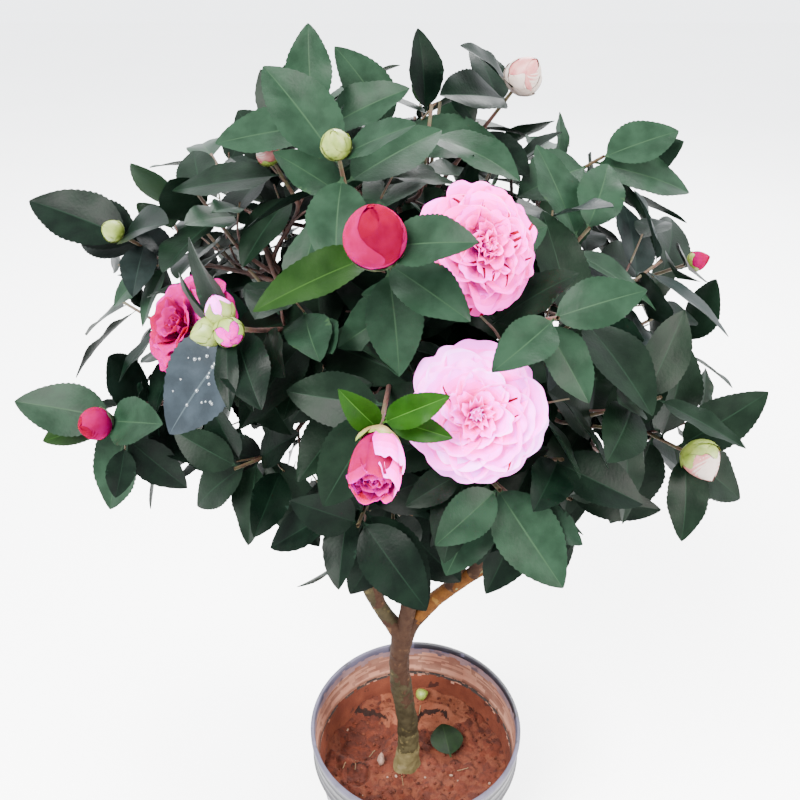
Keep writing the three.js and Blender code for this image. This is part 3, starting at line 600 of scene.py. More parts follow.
def tube_points(path, radii, sides, relief=None):
    """Rings round a path, without twist."""
    path = np.asarray(path, float)
    ways = np.gradient(path, axis=0)
    ways /= np.linalg.norm(ways, axis=1)[:, None]
    normal = across(ways[0])[0]
    angles = turns_round(sides)
    rings = []
    for i, way in enumerate(ways):
        normal = unit(normal - way * normal.dot(way))
        spokes = np.outer(np.cos(angles), normal) + np.outer(np.sin(angles), np.cross(way, normal))
        radius = radii[i] if relief is None else radii[i] + relief[i][:, None]
        rings.append(path[i] + spokes * radius)
    return np.array(rings)


def add_tube(batch, path, radii, sides, tone):
    """An open tube along a path."""
    rings = tube_points(path, radii, sides)
    batch.add(rings, grid_faces(len(rings), sides, closed=True), tone)


def value_noise(points, size, seed=0):
    """Smooth noise from -1 to 1 with features of a size. Large primes mix the numbers of a corner."""
    scaled = np.asarray(points, float) / size
    cell = np.floor(scaled).astype(np.int64)
    part = scaled - cell
    part = part * part * (3 - 2 * part)
    total = np.zeros(scaled.shape[:-1])
    for corner in np.ndindex(2, 2, 2):
        at = cell + corner
        mixed = at[..., 0] * 73856093 ^ at[..., 1] * 19349663 ^ at[..., 2] * 83492791 ^ seed * 2654435761
        mixed = (mixed ^ (mixed >> 13)) * 1274126177 & 0xFFFFFFFF
        value = ((mixed ^ (mixed >> 16)) & 0xFFFF) / 32767.5 - 1
        total += value * np.prod(np.where(corner, part, 1 - part), axis=-1)
    return total


def linear(code, share=1.0):
    """The linear colour of a hex code, darkened to a share of itself."""
    parts = [int(code[i:i + 2], 16) / 255 for i in (0, 2, 4)]
    return [share * (p / 12.92 if p <= 0.04045 else ((p + 0.055) / 1.055) ** 2.4) for p in parts] + [1.0]


# The lights are strong for the sake of the pale blooms, so all other colours are darkened to this share
SHADE = 0.345
PATCH_ENDS = (0.36, 0.64)  # where the noise turns from one tone to the other
FLECK_EDGE = 0.06
ROUGHNESS_SPREAD = 0.08
BLACK, WHITE = (0, 0, 0, 1), (1, 1, 1, 1)


def surface(
    name, tone, other, patch, roughness, bump, grain=500, relief=0.0006, fleck=None, share=SHADE, **values,
):
    """A procedural finish: two close tones in soft patches, with a fine relief. Scales are per metre."""
    made = bpy.data.materials.new(name)
    made.use_nodes = True
    nodes, links = made.node_tree.nodes, made.node_tree.links
    shader = nodes["Principled BSDF"]
    place = nodes.new("ShaderNodeTexCoord")

    def noise(scale, detail):
        node = nodes.new("ShaderNodeTexNoise")
        node.inputs["Scale"].default_value = scale
        node.inputs["Detail"].default_value = detail
        links.new(place.outputs["Object"], node.inputs["Vector"])
        return node.outputs["Fac"]

    def ramp(source, ends, colours):
        node = nodes.new("ShaderNodeValToRGB")
        for stop, position, colour in zip(node.color_ramp.elements, ends, colours):
            stop.position, stop.color = position, colour
        links.new(source, node.inputs["Fac"])
        return node.outputs["Color"]

    patches = noise(patch, 5)
    colour = ramp(patches, PATCH_ENDS, (linear(tone, share), linear(other, share)))
    if fleck:
        code, scale, least = fleck
        mix = nodes.new("ShaderNodeMix")
        mix.data_type = "RGBA"
        links.new(ramp(noise(scale, 3), (least, least + FLECK_EDGE), (BLACK, WHITE)), mix.inputs["Factor"])
        links.new(colour, mix.inputs["A"])
        mix.inputs["B"].default_value = linear(code, share)
        colour = mix.outputs["Result"]
    links.new(colour, shader.inputs["Base Color"])
    rough = nodes.new("ShaderNodeMapRange")
    rough.inputs["To Min"].default_value = max(roughness - ROUGHNESS_SPREAD, 0)
    rough.inputs["To Max"].default_value = min(roughness + ROUGHNESS_SPREAD, 1)
    links.new(patches, rough.inputs["Value"])
    links.new(rough.outputs["Result"], shader.inputs["Roughness"])
    if bump:
        raised = nodes.new("ShaderNodeBump")
        raised.inputs["Strength"].default_value = bump
        raised.inputs["Distance"].default_value = relief
        links.new(noise(grain, 4), raised.inputs["Height"])
        links.new(raised.outputs["Normal"], shader.inputs["Normal"])
    for socket, value in values.items():
        shader.inputs[socket.replace("_", " ")].default_value = value
    return made


# Tones of the leaves: each kind has its blade, its midrib and its underside
LEAF_TONES = {
    "dark": ("0C1B11", "142519", "1B3022", "22382A"),
    "deep": ("06130C", "0C1D13", "13271B", "1C3026"),
    # This kind's blue-grey green is painted sheen: the sky's reflection on glossy leaves
    "blue": ("18211F", "222D2B", "2A3833", "30433B"),
    # This kind's grey is painted sheen: a wet leaf's reflection of the sky
    "painted_wet_sheen": ("2C343A", "38424A", "48545A", "3C4E46"),
    "mid": ("1D3324", "284130", "324C36", "304A30"),
    "fresh": ("1A4208", "265210", "46762A", "3E6E28"),
    "young": ("16300C", "203C14", "30501E", "2C4A1C"),
    "dull": ("10200C", "1A2E14", "24381C", "2A4420"),
}
LEAF_UPPER = dict(share=0.37, Specular_IOR_Level=0.038)
LEAF_UNDER = dict(Specular_IOR_Level=0.04)


def leaf_materials():
    made = []
    for kind, (tone, other, rib, under) in LEAF_TONES.items():
        made.append(surface(f"leaf_{kind}", tone, other, 70, 0.4, 0.25, 420, **LEAF_UPPER))
        made.append(surface(f"midrib_{kind}", rib, rib, 70, 0.45, 0.1, **LEAF_UPPER))
        made.append(surface(f"underside_{kind}", under, rib, 60, 0.6, 0.2, 380, 0.0008, **LEAF_UNDER))
    # The drops' pale grey is a painted highlight: the sky's glint on water
    made.append(surface("droplet", "66727A", "7A868E", 300, 0.08, 0.02, Specular_IOR_Level=1.0))
    return made


LEAF_KINDS = list(LEAF_TONES)
# Points across the upper and the lower skin of a leaf; the middle two of the upper one bound the midrib
COLUMNS = np.array([-1, -0.68, -0.36, -0.026, 0.026, 0.36, 0.68, 1])
MIDRIB_COLUMN = 3
BELOW = np.array([-1, -0.5, 0, 0.5, 1])
GROOVE, LEAF_THICK = 0.35, 0.55
# The stalk's length, half width and the end of its colour, and the teeth of the edge, as shares of the leaf
PETIOLE, STALK_HALF, STALK_END, TEETH = 0.075, 0.028, 0.09, 0.02


def blade(x):
    """Half width of a real leaf with its stalk, as a share of its width."""
    inside = np.clip((x - PETIOLE) / (1 - PETIOLE), 0, 1)
    return np.maximum(leaf_half_width(inside), STALK_HALF * (1 - 0.6 * x))


def add_leaf(batch, leaf, kind, rows, rng):
    """A leaf with a toothed edge, a sunk midrib, and its own fold, wave, twist and curl."""
    x = np.linspace(0, 1, rows + 1)
    half = blade(x) * (1 + TEETH * np.where(np.arange(rows + 1) % 2, 1, -1) * (x > 0.12) * (x < 0.97))
    length, width = leaf["length"], leaf["length"] * leaf.get("width_share", LEAF["width_share"])
    wave, waves, start = rng.uniform(0.4, 1.8), rng.uniform(1.2, 2.6), rng.uniform(0, 2 * math.pi, 2)
    twist, bend, curl = rng.normal(0, 0.14), rng.normal(0, 0.035), rng.uniform(-0.02, 0.07)
    fold = LEAF["fold"] * rng.uniform(0.7, 1.7) * leaf.get("rolled", 1.0)

    def skin(columns, sunk):
        y, on = columns[None, :], x[:, None]
        reach = y * half[:, None] * width
        side_wave = np.where(y < 0, start[0], start[1])
        lift = fold * (np.sqrt(reach**2 + 1) - 1) - LEAF["droop"] * length * on**2
        lift = lift - curl * length * on**3
        lift = lift + wave * y**2 * np.sin(2 * math.pi * waves * on + side_wave) * np.sin(math.pi * on)
        lift = lift - sunk
        turn = twist * on
        sideways = reach * np.cos(turn) + bend * length * on**2
        return (
            leaf["base"] + on[..., None] * length * leaf["along"]
            + sideways[..., None] * leaf["side"] + (lift + reach * np.sin(turn))[..., None] * leaf["face"]
        )

    tone = 3 * LEAF_KINDS.index(kind)
    tones = np.full((rows, len(COLUMNS) - 1), tone)
    tones[:, MIDRIB_COLUMN] = tone + 1
    tones[x[1:] < STALK_END] = tone + 1
    groove = GROOVE * (np.abs(COLUMNS) < 0.1)
    top = skin(COLUMNS, groove[None, :])
    batch.add(top, grid_faces(rows + 1, len(COLUMNS)), tones)
    thick = LEAF_THICK * (np.abs(BELOW) < 0.9)
    batch.add(skin(BELOW, thick[None, :]), grid_faces(rows + 1, len(BELOW), flip=True), tone + 2)
    return top


DROPS = 22
DOME = ((1, 0), (0.8, 0.6), (0.4, 0.92), (0.05, 1))  # radius and height of a drop's rings


def add_droplets(batch, top, face, rng):
    """Drops of water on a leaf: shallow opaque domes, whose pale grey is a painted highlight."""
    rows, columns = top.shape[:2]
    right, up = across(face)
    turn = turns_round(8)
    ring = np.outer(np.cos(turn), right) + np.outer(np.sin(turn), up)
    for _ in range(DROPS):
        i, j = rng.integers(rows // 5, rows * 3 // 4), rng.integers(1, columns - 2)
        centre = lerp(top[i, j], top[i, j + 1], rng.random()) + 0.1 * face
        size = rng.uniform(0.7, 1.7)
        dome = [centre + size * (radius * ring + 0.7 * height * face) for radius, height in DOME]
        batch.add(np.array(dome), grid_faces(len(DOME), len(turn), closed=True), 3 * len(LEAF_KINDS))


# Petal tones from the palest to the darkest
PALETTE = ["FF9AFF", "FF62E6", "FF36C4", "E0169A", "B0047E", "880056", "5C001C", "340008"]


def blended(code, other):
    """The colour halfway between two hex codes."""
    return "".join(f"{(int(code[k:k + 2], 16) + int(other[k:k + 2], 16)) // 2:02X}" for k in (0, 2, 4))


PETALS = [blended(PALETTE[i // 2], PALETTE[(i + 1) // 2]) for i in range(2 * len(PALETTE) - 1)]
SHEEN = [0.08] * 6 + [0.0] * (len(PETALS) - 6)  # the darker petals have none


def petal_materials():
    made = []
    for i, code in enumerate(PETALS):
        between = blended(code, PETALS[min(i + 1, len(PETALS) - 1)])
        made.append(surface(
            f"petal_{i}", code, between, 120, 0.65, 0.12, 700, 0.0003, share=1.0,
            Subsurface_Weight=0.35, Subsurface_Scale=0.005, Specular_IOR_Level=SHEEN[i],
        ))
    return made


BUD_TONES = {
    "scale_green": ("8FA83A", "A9BC4E"),
    "scale_tan": ("B99A5A", "D2B877"),
    "scale_grey": ("7E9168", "97A67C"),
    "scale_white": ("E2CCBE", "F0DCD2"),
    "blush": ("D86C72", "E89890"),
}
BUD_KINDS = list(BUD_TONES)
# Numbers of the materials of the blossom: the petals come first, then the buds
BUD_FIRST = len(PETALS)
GREEN, TAN, BLUSH = (BUD_FIRST + BUD_KINDS.index(kind) for kind in ("scale_green", "scale_tan", "blush"))
CRIMSON = 12  # a petal tone


def blossom_materials():
    buds = [surface(name, a, b, 200, 0.5, 0.2, 600, 0.0004) for name, (a, b) in BUD_TONES.items()]
    return petal_materials() + buds


def frame_at(axis):
    right, up = across(axis)
    return np.array([right, up, axis])


def unit_grid(grid):
    """Shares along a petal from 0 to 1 and across it from -1 to 1, for a number of columns and rows."""
    columns, rows = grid
    return np.meshgrid(np.linspace(0, 1, rows + 1), np.linspace(-1, 1, columns + 1), indexing="ij")


PETAL_STEPS = 40  # short straight lengths that a petal's curve is made of
PETAL_THICK = 0.7


def add_petal(
    batch, origin, basis, bearing, root, length, width, pitch, tone, rng, cup=1.6, ruffle=1.0, notch=0.05,
    roll=0.0, grid=(20, 13), streaks=0, under=None, lean=0.0,
):
    """A petal with two skins. root is (radius, height) of its base and pitch its climb at base and tip."""
    columns, rows = grid
    v, u = unit_grid(grid)
    # t runs along the petal and ends early at its sides and at its notch
    dent = notch * np.exp(-((u - rng.uniform(-0.25, 0.25)) / 0.2) ** 2)
    t = v * (1 - rng.uniform(0.16, 0.26) * np.abs(u) ** 2.4 - dent * v**3)
    fine = np.linspace(0, 1, PETAL_STEPS + 1)
    climbs = np.radians(pitch[0] + (pitch[1] - pitch[0]) * fine**1.4)
    out = root[0] + length * np.concatenate([[0], np.cumsum(np.cos(climbs[1:]))]) / PETAL_STEPS
    rise = root[1] + length * np.concatenate([[0], np.cumsum(np.sin(climbs[1:]))]) / PETAL_STEPS
    climb = np.interp(t, fine, climbs)
    # Narrow at its base, widest at two thirds and a little narrower at its tip; cupped across
    half = width / 2 * (0.28 + 0.72 * np.sin(math.pi / 2 * np.clip(v / 0.66, 0, 1)))
    half = half * (1 - 0.16 * np.clip((v - 0.7) / 0.3, 0, 1) ** 2)
    s, bow = u * half, width * cup / 2
    lateral, lift = bow * np.sin(s / bow), bow * (1 - np.cos(s / bow))
    # Its lean to one side, two waves of its edge and the roll of its tip
    phase = rng.uniform(0, 2 * math.pi, 3)
    lift = lift + lean * s * v
    lift = lift + ruffle * v**2 * np.sin(3.1 * math.pi * u / 1.3 + phase[0]) * (0.4 + 0.6 * np.abs(u))
    lift = lift + 0.5 * ruffle * v**3 * np.sin(7 * u + 5 * v + phase[1])
    at_tip = np.clip((v - 0.6) / 0.4, 0, 1)
    lift = lift - roll * width * at_tip**2 * (0.5 + 0.5 * np.sin(2 * u + phase[2]))
    turn = math.radians(bearing)

    def skin(depth):
        over = lift - depth
        r = np.interp(t, fine, out) - over * np.sin(climb)
        z = np.interp(t, fine, rise) + over * np.cos(climb)
        ahead = r * math.cos(turn) - lateral * math.sin(turn)
        aside = r * math.sin(turn) + lateral * math.cos(turn)
        return origin + np.stack([ahead, aside, z], -1) @ basis

    middle = (v[1:, 1:] + v[:-1, :-1]) / 2
    tones = tone(middle, (u[1:, 1:] + u[:-1, :-1]) / 2, rng)
    for _ in range(streaks):
        column = rng.integers(1, columns - 1)
        start, end = rng.uniform(0.45, 0.75), rng.uniform(0.85, 1.1)
        tones[:, column][(middle[:, column] > start) & (middle[:, column] < end)] = CRIMSON
    quads = grid_faces(rows + 1, columns + 1)
    batch.add(skin(0), quads, tones)
    outer = tones if under is None else under(middle, u[1:, 1:], rng)
    batch.add(skin(PETAL_THICK * (1 - u**6) * (1 - v**8)), quads[:, ::-1], outer)


def graded(base, edge, scatter=0.3):
    """Tones that run from the base of a petal to its edge. Each petal differs a little from the next."""
    def tone(v, u, rng):
        level = base + (edge - base) * v + rng.normal(0, scatter)
        return np.clip(np.rint(2 * level), 0, len(PETALS) - 1).astype(int)

    return tone


def tipped(tone, tip):
    """The tones of a sepal: one for its tip and one for the rest."""
    return lambda v, u, rng: np.where(v > 0.8, tip, tone)


def bud_outline(s):
    """Radius and height of a bud's outline, in its radii, from its base at 0 to its tip at 1."""
    return np.sin(math.pi * np.clip(s, 0, 1) ** 0.777) ** 0.8, -0.15 + 2.45 * s


def add_scale(
    batch, origin, basis, size, bearing, span, reach, tone, lift, grid, twist=0.0, flare=0.0, rounding=0.28,
):
    """A sepal or a folded petal on a bud. span is its width in degrees, reach its share of the bud."""
    columns, rows = grid
    v, u = unit_grid(grid)
    r, z = bud_outline(reach * v * (1 - rounding * u**2 * v))
    width = (0.6 + 0.4 * np.sin(math.pi * np.clip(v / 0.9, 0, 1))) * (1 - 0.45 * v**5)
    turn = np.radians(bearing + twist * v + u * span / 2 * width)
    r = r + lift[0] + (lift[1] - lift[0]) * (u + 1) / 2 + flare * v**3 * (1 - 0.4 * u**2)
    local = np.stack([r * np.cos(turn), r * np.sin(turn), z], -1) * size
    batch.add(origin + local @ basis, grid_faces(rows + 1, columns + 1), tone)


CORE = (12, 14)  # rings and sides of a bud's core
WOUND = ((400, 1.0), (400, 1.0), (400, 0.99), (330, 0.97))  # span and reach of the wound petals
WOUND_GRID = (36, 12)


def add_bud(batch, origin, axis, size, petal_tone, sepal_kind, rng, sepal_run):
    """A closed bud: petals wound over one another inside three rings of sepals.

    A blush bud has one white petal, and a bud of a petal tone is paler at its base.
    """
    basis = frame_at(axis)
    core = lathed(*bud_outline(np.linspace(0.02, 1, CORE[0])), CORE[1]) * size * 0.98
    batch.add(origin + core @ basis, grid_faces(*CORE, closed=True), petal_tone)
    start = rng.uniform(0, 360)
    columns, rows = WOUND_GRID
    for k, (span, reach) in enumerate(WOUND):
        tone = np.full((rows, columns), petal_tone - (petal_tone == BLUSH and k == 2))
        if petal_tone < BUD_FIRST:
            rise = np.linspace(0, 1, rows)[:, None]
            tone = np.maximum(tone - (k == 3) - np.rint(7 * np.clip(0.4 - rise, 0, 1)).astype(int), 0)
        add_scale(
            batch, origin, basis, size, start + k * 137, span, reach, tone,
            lift=(0.014 * k, 0.014 * k + 0.008), grid=WOUND_GRID, twist=50, rounding=0.1,
        )
    sepal_tone = BUD_FIRST + BUD_KINDS.index(sepal_kind)
    for ring, share in enumerate((1, 0.72, 0.46)):
        step = 0.045 * ring
        for k in range(4):
            add_scale(
                batch, origin, basis, size, start + 38 * ring + k * 90, 130,
                sepal_run * share * rng.uniform(0.94, 1.04), sepal_tone,
                lift=(0.05 + step, 0.085 + step), grid=(8, 7), flare=0.03,
            )


# Rows of an open bloom from the outside in: petals, base radius and height, length, width, pitch at base
# and tip, and ruffle. Lengths are shares of the bloom's radius.
FORMAL = [
    (7, 0.12, -0.16, 0.95, 1.06, (6, -12), 0.03),
    (7, 0.11, -0.1, 0.89, 0.98, (15, -4), 0.03),
    (7, 0.1, -0.05, 0.76, 0.84, (24, 6), 0.03),
    (7, 0.09, 0.0, 0.65, 0.72, (33, 14), 0.03),
    (6, 0.08, 0.04, 0.54, 0.54, (42, 24), 0.035),
    (6, 0.06, 0.08, 0.44, 0.36, (53, 42), 0.04),
    (5, 0.04, 0.11, 0.37, 0.25, (64, 60), 0.05),
    (4, 0.02, 0.12, 0.31, 0.18, (80, 88), 0.05),
]
# The left bloom is looser, with few broad petals
LOOSE = [
    (6, 0.12, -0.16, 0.92, 1.22, (4, -12), 0.02),
    (6, 0.1, -0.08, 0.86, 1.12, (17, 0), 0.02),
    (5, 0.09, 0.0, 0.74, 1.02, (32, 14), 0.03),
    (5, 0.07, 0.05, 0.6, 0.8, (46, 34), 0.035),
    (4, 0.05, 0.1, 0.46, 0.56, (64, 60), 0.04),
    (4, 0.02, 0.12, 0.34, 0.26, (80, 88), 0.05),
]


def add_bloom(batch, shoot, rows, tones, streaks, rng):
    """An open bloom with its cup of sepals."""
    size, basis, origin = shoot["bloom"], frame_at(shoot["axis"]), shoot["tip"]
    start = rng.uniform(0, 360)
    for i, (count, radius, height, length, width, pitch, ruffle) in enumerate(rows):
        start += 180 / count + rng.uniform(-8, 8)
        outer = i < 3
        for k in range(count):
            bearing = start + 360 * k / count + rng.uniform(-7, 7)
            reach = length * size * rng.uniform(0.93, 1.04)
            low = pitch[0] + rng.uniform(-3, 3) - 0.5 * i
            high = pitch[1] + rng.uniform(-4, 4) * (1 + i / 4)
            notch = rng.uniform(0.02, 0.1)
            streaked = int(rng.random() < streaks and i < 5) * int(rng.integers(1, 4))
            add_petal(
                batch, origin, basis, bearing, (radius * size, height * size), reach, width * size,
                (low, high), graded(*tones[i]), rng, cup=1.5 if outer else 0.9, ruffle=ruffle * size,
                notch=notch, roll=0.06 if outer else 0.1, grid=(20, 13) if i < 4 else (10, 10),
                streaks=streaked, lean=rng.normal(0, 0.06 + 0.02 * i),
            )
    core = lathed(*bud_outline(np.array([0.0, 0.5, 0.8, 1.0])), 9) * size * 0.085 + 0.14 * size * UP
    batch.add(origin + core @ basis, grid_faces(4, 9, closed=True), int(2 * tones[-1][1]) + 3)
    for ring, reach in enumerate((15, 11)):
        for k in range(5):
            add_petal(
                batch, origin, basis, 72 * k + 36 * ring, (2.5, -0.33 * size), reach, 13, (15, 70),
                tipped(GREEN, GREEN), rng, ruffle=0.2, notch=0, grid=(6, 6),
            )


HANG_FALL = -0.45  # how far the half-open bloom hangs down from the way its shoot faces
HANG_SEED = 4
# The bearing round which the hanging bloom's petals are crimson outside, and how far on each side
CRIMSON_SIDE, CRIMSON_SPREAD = 170, 95
# Rows of its petals: their number, base radius, length, width and pitch at the tip; then the crumpled ones
# inside by number, base radius and width, and the pale ones at the right by bearing and width
BELL = ((6, 0.16, 1.85, 1.25, 118), (5, 0.12, 1.75, 1.1, 116))
CRUMPLED = ((6, 0.34, 0.8), (5, 0.22, 0.62), (5, 0.1, 0.42))
TONGUES = ((58, 0.95), (20, 0.8))


def add_hanging(batch, shoot):
    """The half-open bloom: broad petals that close round crumpled ones, hung from a neck of sepals."""
    size, origin = shoot["hanging"], shoot["tip"]
    rng = np.random.default_rng(HANG_SEED)
    basis = frame_at(unit(shoot["axis"] + UP * HANG_FALL))
    for row, (count, radius, reach, wide, tip) in enumerate(BELL):
        for k in range(count):
            bearing = 360 * (k + 0.5 * row) / count + 12 + rng.uniform(-8, 8)
            to_side = abs((bearing - CRIMSON_SIDE + 180) % 360 - 180)
            add_petal(
                batch, origin, basis, bearing, (radius * size, 0.05 * size),
                size * reach * rng.uniform(0.97, 1.02), size * wide, (52, tip), graded(5.1, 4.6, 0.3), rng,
                cup=0.8, ruffle=0.045 * size, notch=0.03, roll=0.12, lean=rng.normal(0, 0.03),
                under=graded(6.2, 5.6, 0.2) if to_side < CRIMSON_SPREAD else graded(4.6, 1.6, 0.4),
            )
    for ring, (count, radius, wide) in enumerate(CRUMPLED):
        for k in range(count):
            bearing = 360 * k / count + 34 * ring + rng.uniform(-9, 9)
            add_petal(
                batch, origin, basis, bearing, (radius * size, 0.7 * size), size * rng.uniform(0.86, 0.96),
                size * wide, (72 + 4 * ring, 116), graded(5.0, 3.8, 0.4), rng, cup=0.75,
                ruffle=0.035 * size, notch=0.06, grid=(12, 10), roll=0.12, lean=rng.normal(0, 0.1),
            )
    for bearing, wide in TONGUES:
        add_petal(
            batch, origin, basis, bearing, (0.28 * size, 0.05 * size), size * 1.45, size * wide, (50, 104),
            graded(3.0, 1.2, 0.3), rng, cup=0.85, ruffle=0.05 * size, notch=0.1, roll=0.14,
            under=graded(3.4, 0.6, 0.3),
        )
    for ring, reach in enumerate((0.85, 0.6)):
        for k in range(5):
            add_petal(
                batch, origin, basis, 72 * k + 36 * ring, (0.1 * size, -0.12 * size), reach * size,
                0.5 * size, (30, 84), tipped(TAN, GREEN), rng, ruffle=0.2, notch=0, grid=(7, 7),
            )


# How much a bud turns up or down from the way its shoot faces
BUD_RISES = {"red_bud": 0.75, "low_right_bud": -0.9}

# Buds by shoot: the tone of the petals, the kind of the sepals and how far they reach up the bud
BUDS = {
    "red_bud": (CRIMSON, "scale_grey", 0.3),
    "far_left_bud": (CRIMSON, "scale_grey", 0.4),
    "right_red_bud": (CRIMSON, "scale_green", 0.5),
    "green_bud": (GREEN, "scale_green", 0.8),
    "yellow_bud": (GREEN, "scale_green", 0.7),
    "right_green_bud": (GREEN, "scale_green", 0.6),
    "white_bud": (BLUSH, "scale_white", 0.74),
    "low_right_bud": (BLUSH, "scale_green", 0.62),
    "pink_bud": (BLUSH, "scale_green", 0.5),
}
CLUSTER = dict(first=100, lean=1.1, apart=0.3, petals=(2, GREEN, 8), sepal_run=0.86)

# Tones of an open bloom's petals at base and edge, row by row, as levels in the palette. The deeper pink at
# the bases and in the inner rows is partly the petals' own colour and partly painted shade
FRONT_TONES = [(3.7, 0.5), (3.7, 0.4), (3.7, 0.4), (3.7, 0.5)]
FRONT_TONES += [(4.2, 0.7), (4.6, 0.8), (4.8, 0.8), (4.6, 0.3)]
UPPER_TONES = [(4.6, 1.8)] * 3 + [(4.7, 1.8), (4.8, 1.8), (5.0, 2.0), (5.0, 2.0), (4.8, 1.8)]
LEFT_TONES = [(5.3, 4.8), (5.2, 4.8), (5.1, 4.8), (5.3, 4.8), (5.6, 5.0), (5.8, 5.2)]
# Open blooms by shoot: their rows and tones, the share of streaked petals, and a seed of their own or none
BLOOMS = {
    "front_bloom": (FORMAL, FRONT_TONES, 0.08, None),
    "upper_bloom": (FORMAL, UPPER_TONES, 0.42, None),
    "left_bloom": (LOOSE, LEFT_TONES, 0.0, 9),
}


def add_blossom(batch, shoots, rng):
    """Blooms and buds on the shoots that bear them."""
    for shoot in shoots:
        name = shoot.get("name")
        if name in BLOOMS:
            rows, tones, streaks, seed = BLOOMS[name]
            add_bloom(batch, shoot, rows, tones, streaks, np.random.default_rng(seed) if seed else rng)
        elif "hanging" in shoot:
            add_hanging(batch, shoot)
        elif "cluster" in shoot:
            right, up = across(shoot["axis"])
            for i, petal in enumerate(CLUSTER["petals"]):
                bearing = math.radians(CLUSTER["first"] + 120 * i)
                out = right * math.cos(bearing) + up * math.sin(bearing)
                base = shoot["tip"] + out * shoot["bud"] * CLUSTER["apart"]
                lean = unit(shoot["axis"] + out * CLUSTER["lean"])
                add_bud(batch, base, lean, shoot["bud"], petal, "scale_green", rng, CLUSTER["sepal_run"])
        elif "bud" in shoot:
            petal, sepals, run = BUDS[name]
            axis = unit(shoot["axis"] + UP * BUD_RISES.get(name, 0.0))
            base = shoot["tip"] + (shoot["axis"] - axis) * shoot["bud"]
            add_bud(batch, base, axis, shoot["bud"], petal, sepals, rng, run)


# Young leaves by shoot and number, and the shoots whose leaves the photograph shows in a lighter green; that
# lighter green is painted light
YOUNG = [("red_bud", 1), ("red_bud", 2), ("far_left_bud", 2)]
PAINTED_LIT_SPRAYS = (
    "low_front", "front_veil", "red_bud", "top_leaf", "green_bud", "top_right", "far_left_bud",
)
# Sprays inside this share of the crown or below the first height are deep, a darker green that is painted
# shade; light ones keep above the second height, their lighter green painted light
INNER_SHARE = 0.6
LOW_SPRAYS = 690
HIGH_SPRAYS = 800


def leaf_kind(shoot, k, rng):
    """The tone of a leaf: dealt out by spray, and fresh where the photograph shows young growth."""
    name = shoot.get("name")
    if k < shoot.get("new", 0):
        return "fresh"
    if (name, k) in YOUNG:
        return "young"
    if name == "bud_cluster":
        return "painted_wet_sheen" if k == 2 else "deep"
    if "spray" not in shoot:
        shoot["spray"] = rng.choice(["dark", "deep", "mid", "blue"], p=[0.4, 0.24, 0.3, 0.06])
        # Painted light and shade: the listed and upper sprays take the lighter mid green, the inner and low
        # ones the deep green
        if name in PAINTED_LIT_SPRAYS:
            shoot["spray"] = "mid"
        elif name is None and (in_envelope(shoot["tip"], INNER_SHARE) or shoot["tip"][2] < LOW_SPRAYS):
            shoot["spray"] = "deep"
        elif shoot["spray"] == "mid" and shoot["tip"][2] < HIGH_SPRAYS:
            shoot["spray"] = "dark"
    return shoot["spray"]


# Young leaves are narrow and rolled; by the cluster of buds one leaf is broad and grey, a painted wet sheen,
# and one is narrow
LEAF_SHAPES = {
    "fresh": dict(width_share=0.4, rolled=2.4),
    "young": dict(width_share=0.36, rolled=2.4),
    "painted_wet_sheen": dict(width_share=0.66),
    "narrow": dict(width_share=0.3),
}
NARROW_LEAF = ("bud_cluster", 0)

LEAF_PIECES = [
    ("leaves_left", ("left", "left_upper", "front_left", "front_left_low")),
    ("leaves_right", ("right", "front_right", "right_upper", "back_right")),
    ("leaves_front", ("front", "front_top", "top", "underside")),
    ("leaves_back", ("back", "back_left", "back_left_upper", "back_right_upper")),
]


def ride(piece, slot, *nodes):
    """Fixes a piece to the root, in place of the nodes it replaces. The slot is not used."""
    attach(piece, "root")
    if nodes:
        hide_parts(*nodes)


# A leaf whose midrib comes this near the line of sight, and stands this far in front of the bud, is turned
PARTED = dict(near=27, before=12, turn=0.42, width_share=0.36)


def part_from(leaf, bud):
    """A leaf that would hide a bud from the photograph's side, turned aside and made narrower."""
    sight = unit(bud - EYE)
    middle = leaf["base"] + np.outer(np.linspace(0.1, 0.95, 12), leaf["length"] * leaf["along"])
    reach = (middle - EYE) @ sight
    apart = middle - EYE - np.outer(reach, sight)
    away = np.linalg.norm(apart, axis=1)
    near = away.argmin()
    if away[near] > PARTED["near"] or reach[near] > np.linalg.norm(bud - EYE) - PARTED["before"]:
        return leaf
    along = unit(leaf["along"] + PARTED["turn"] * unit(apart[near]))
    face = unit(leaf["face"] - along * (leaf["face"] @ along))
    side = np.cross(face, along)
    side = side * np.sign(side @ leaf["side"])
    return dict(leaf, along=along, face=face, side=side, width_share=PARTED["width_share"])


LEAF_ROWS, FINE_LEAF_ROWS = 36, 18
LEAF_SEED, BLOSSOM_SEED = 12, 31


def dress_leaves(canopy):
    """All leaves, in four pieces by the masses that bear them."""
    right_bud = next(shoot["tip"] for shoot in canopy.shoots if shoot.get("name") == "low_right_bud")
    rng = np.random.default_rng(LEAF_SEED)
    names = [m["name"] for m in MASSES]
    materials = leaf_materials()
    for title, masses in LEAF_PIECES:
        batch = Batch()
        for leaf in canopy.leaves:
            shoot = leaf["shoot"]
            if names[shoot["mass"]] not in masses:
                continue
            kind = leaf_kind(shoot, leaf["k"], rng)
            shape = "narrow" if (shoot.get("name"), leaf["k"]) == NARROW_LEAF else kind
            shaped = dict(leaf, **LEAF_SHAPES.get(shape, {}))
            if "name" not in shoot:
                shaped = part_from(shaped, right_bud)
            top = add_leaf(batch, shaped, kind, FINE_LEAF_ROWS if shoot.get("fine") else LEAF_ROWS, rng)
            if kind == "painted_wet_sheen":
                add_droplets(batch, top, leaf["face"], rng)
        ride(batch.build(title, materials), "foliage", *[f"foliage_{m}" for m in masses])


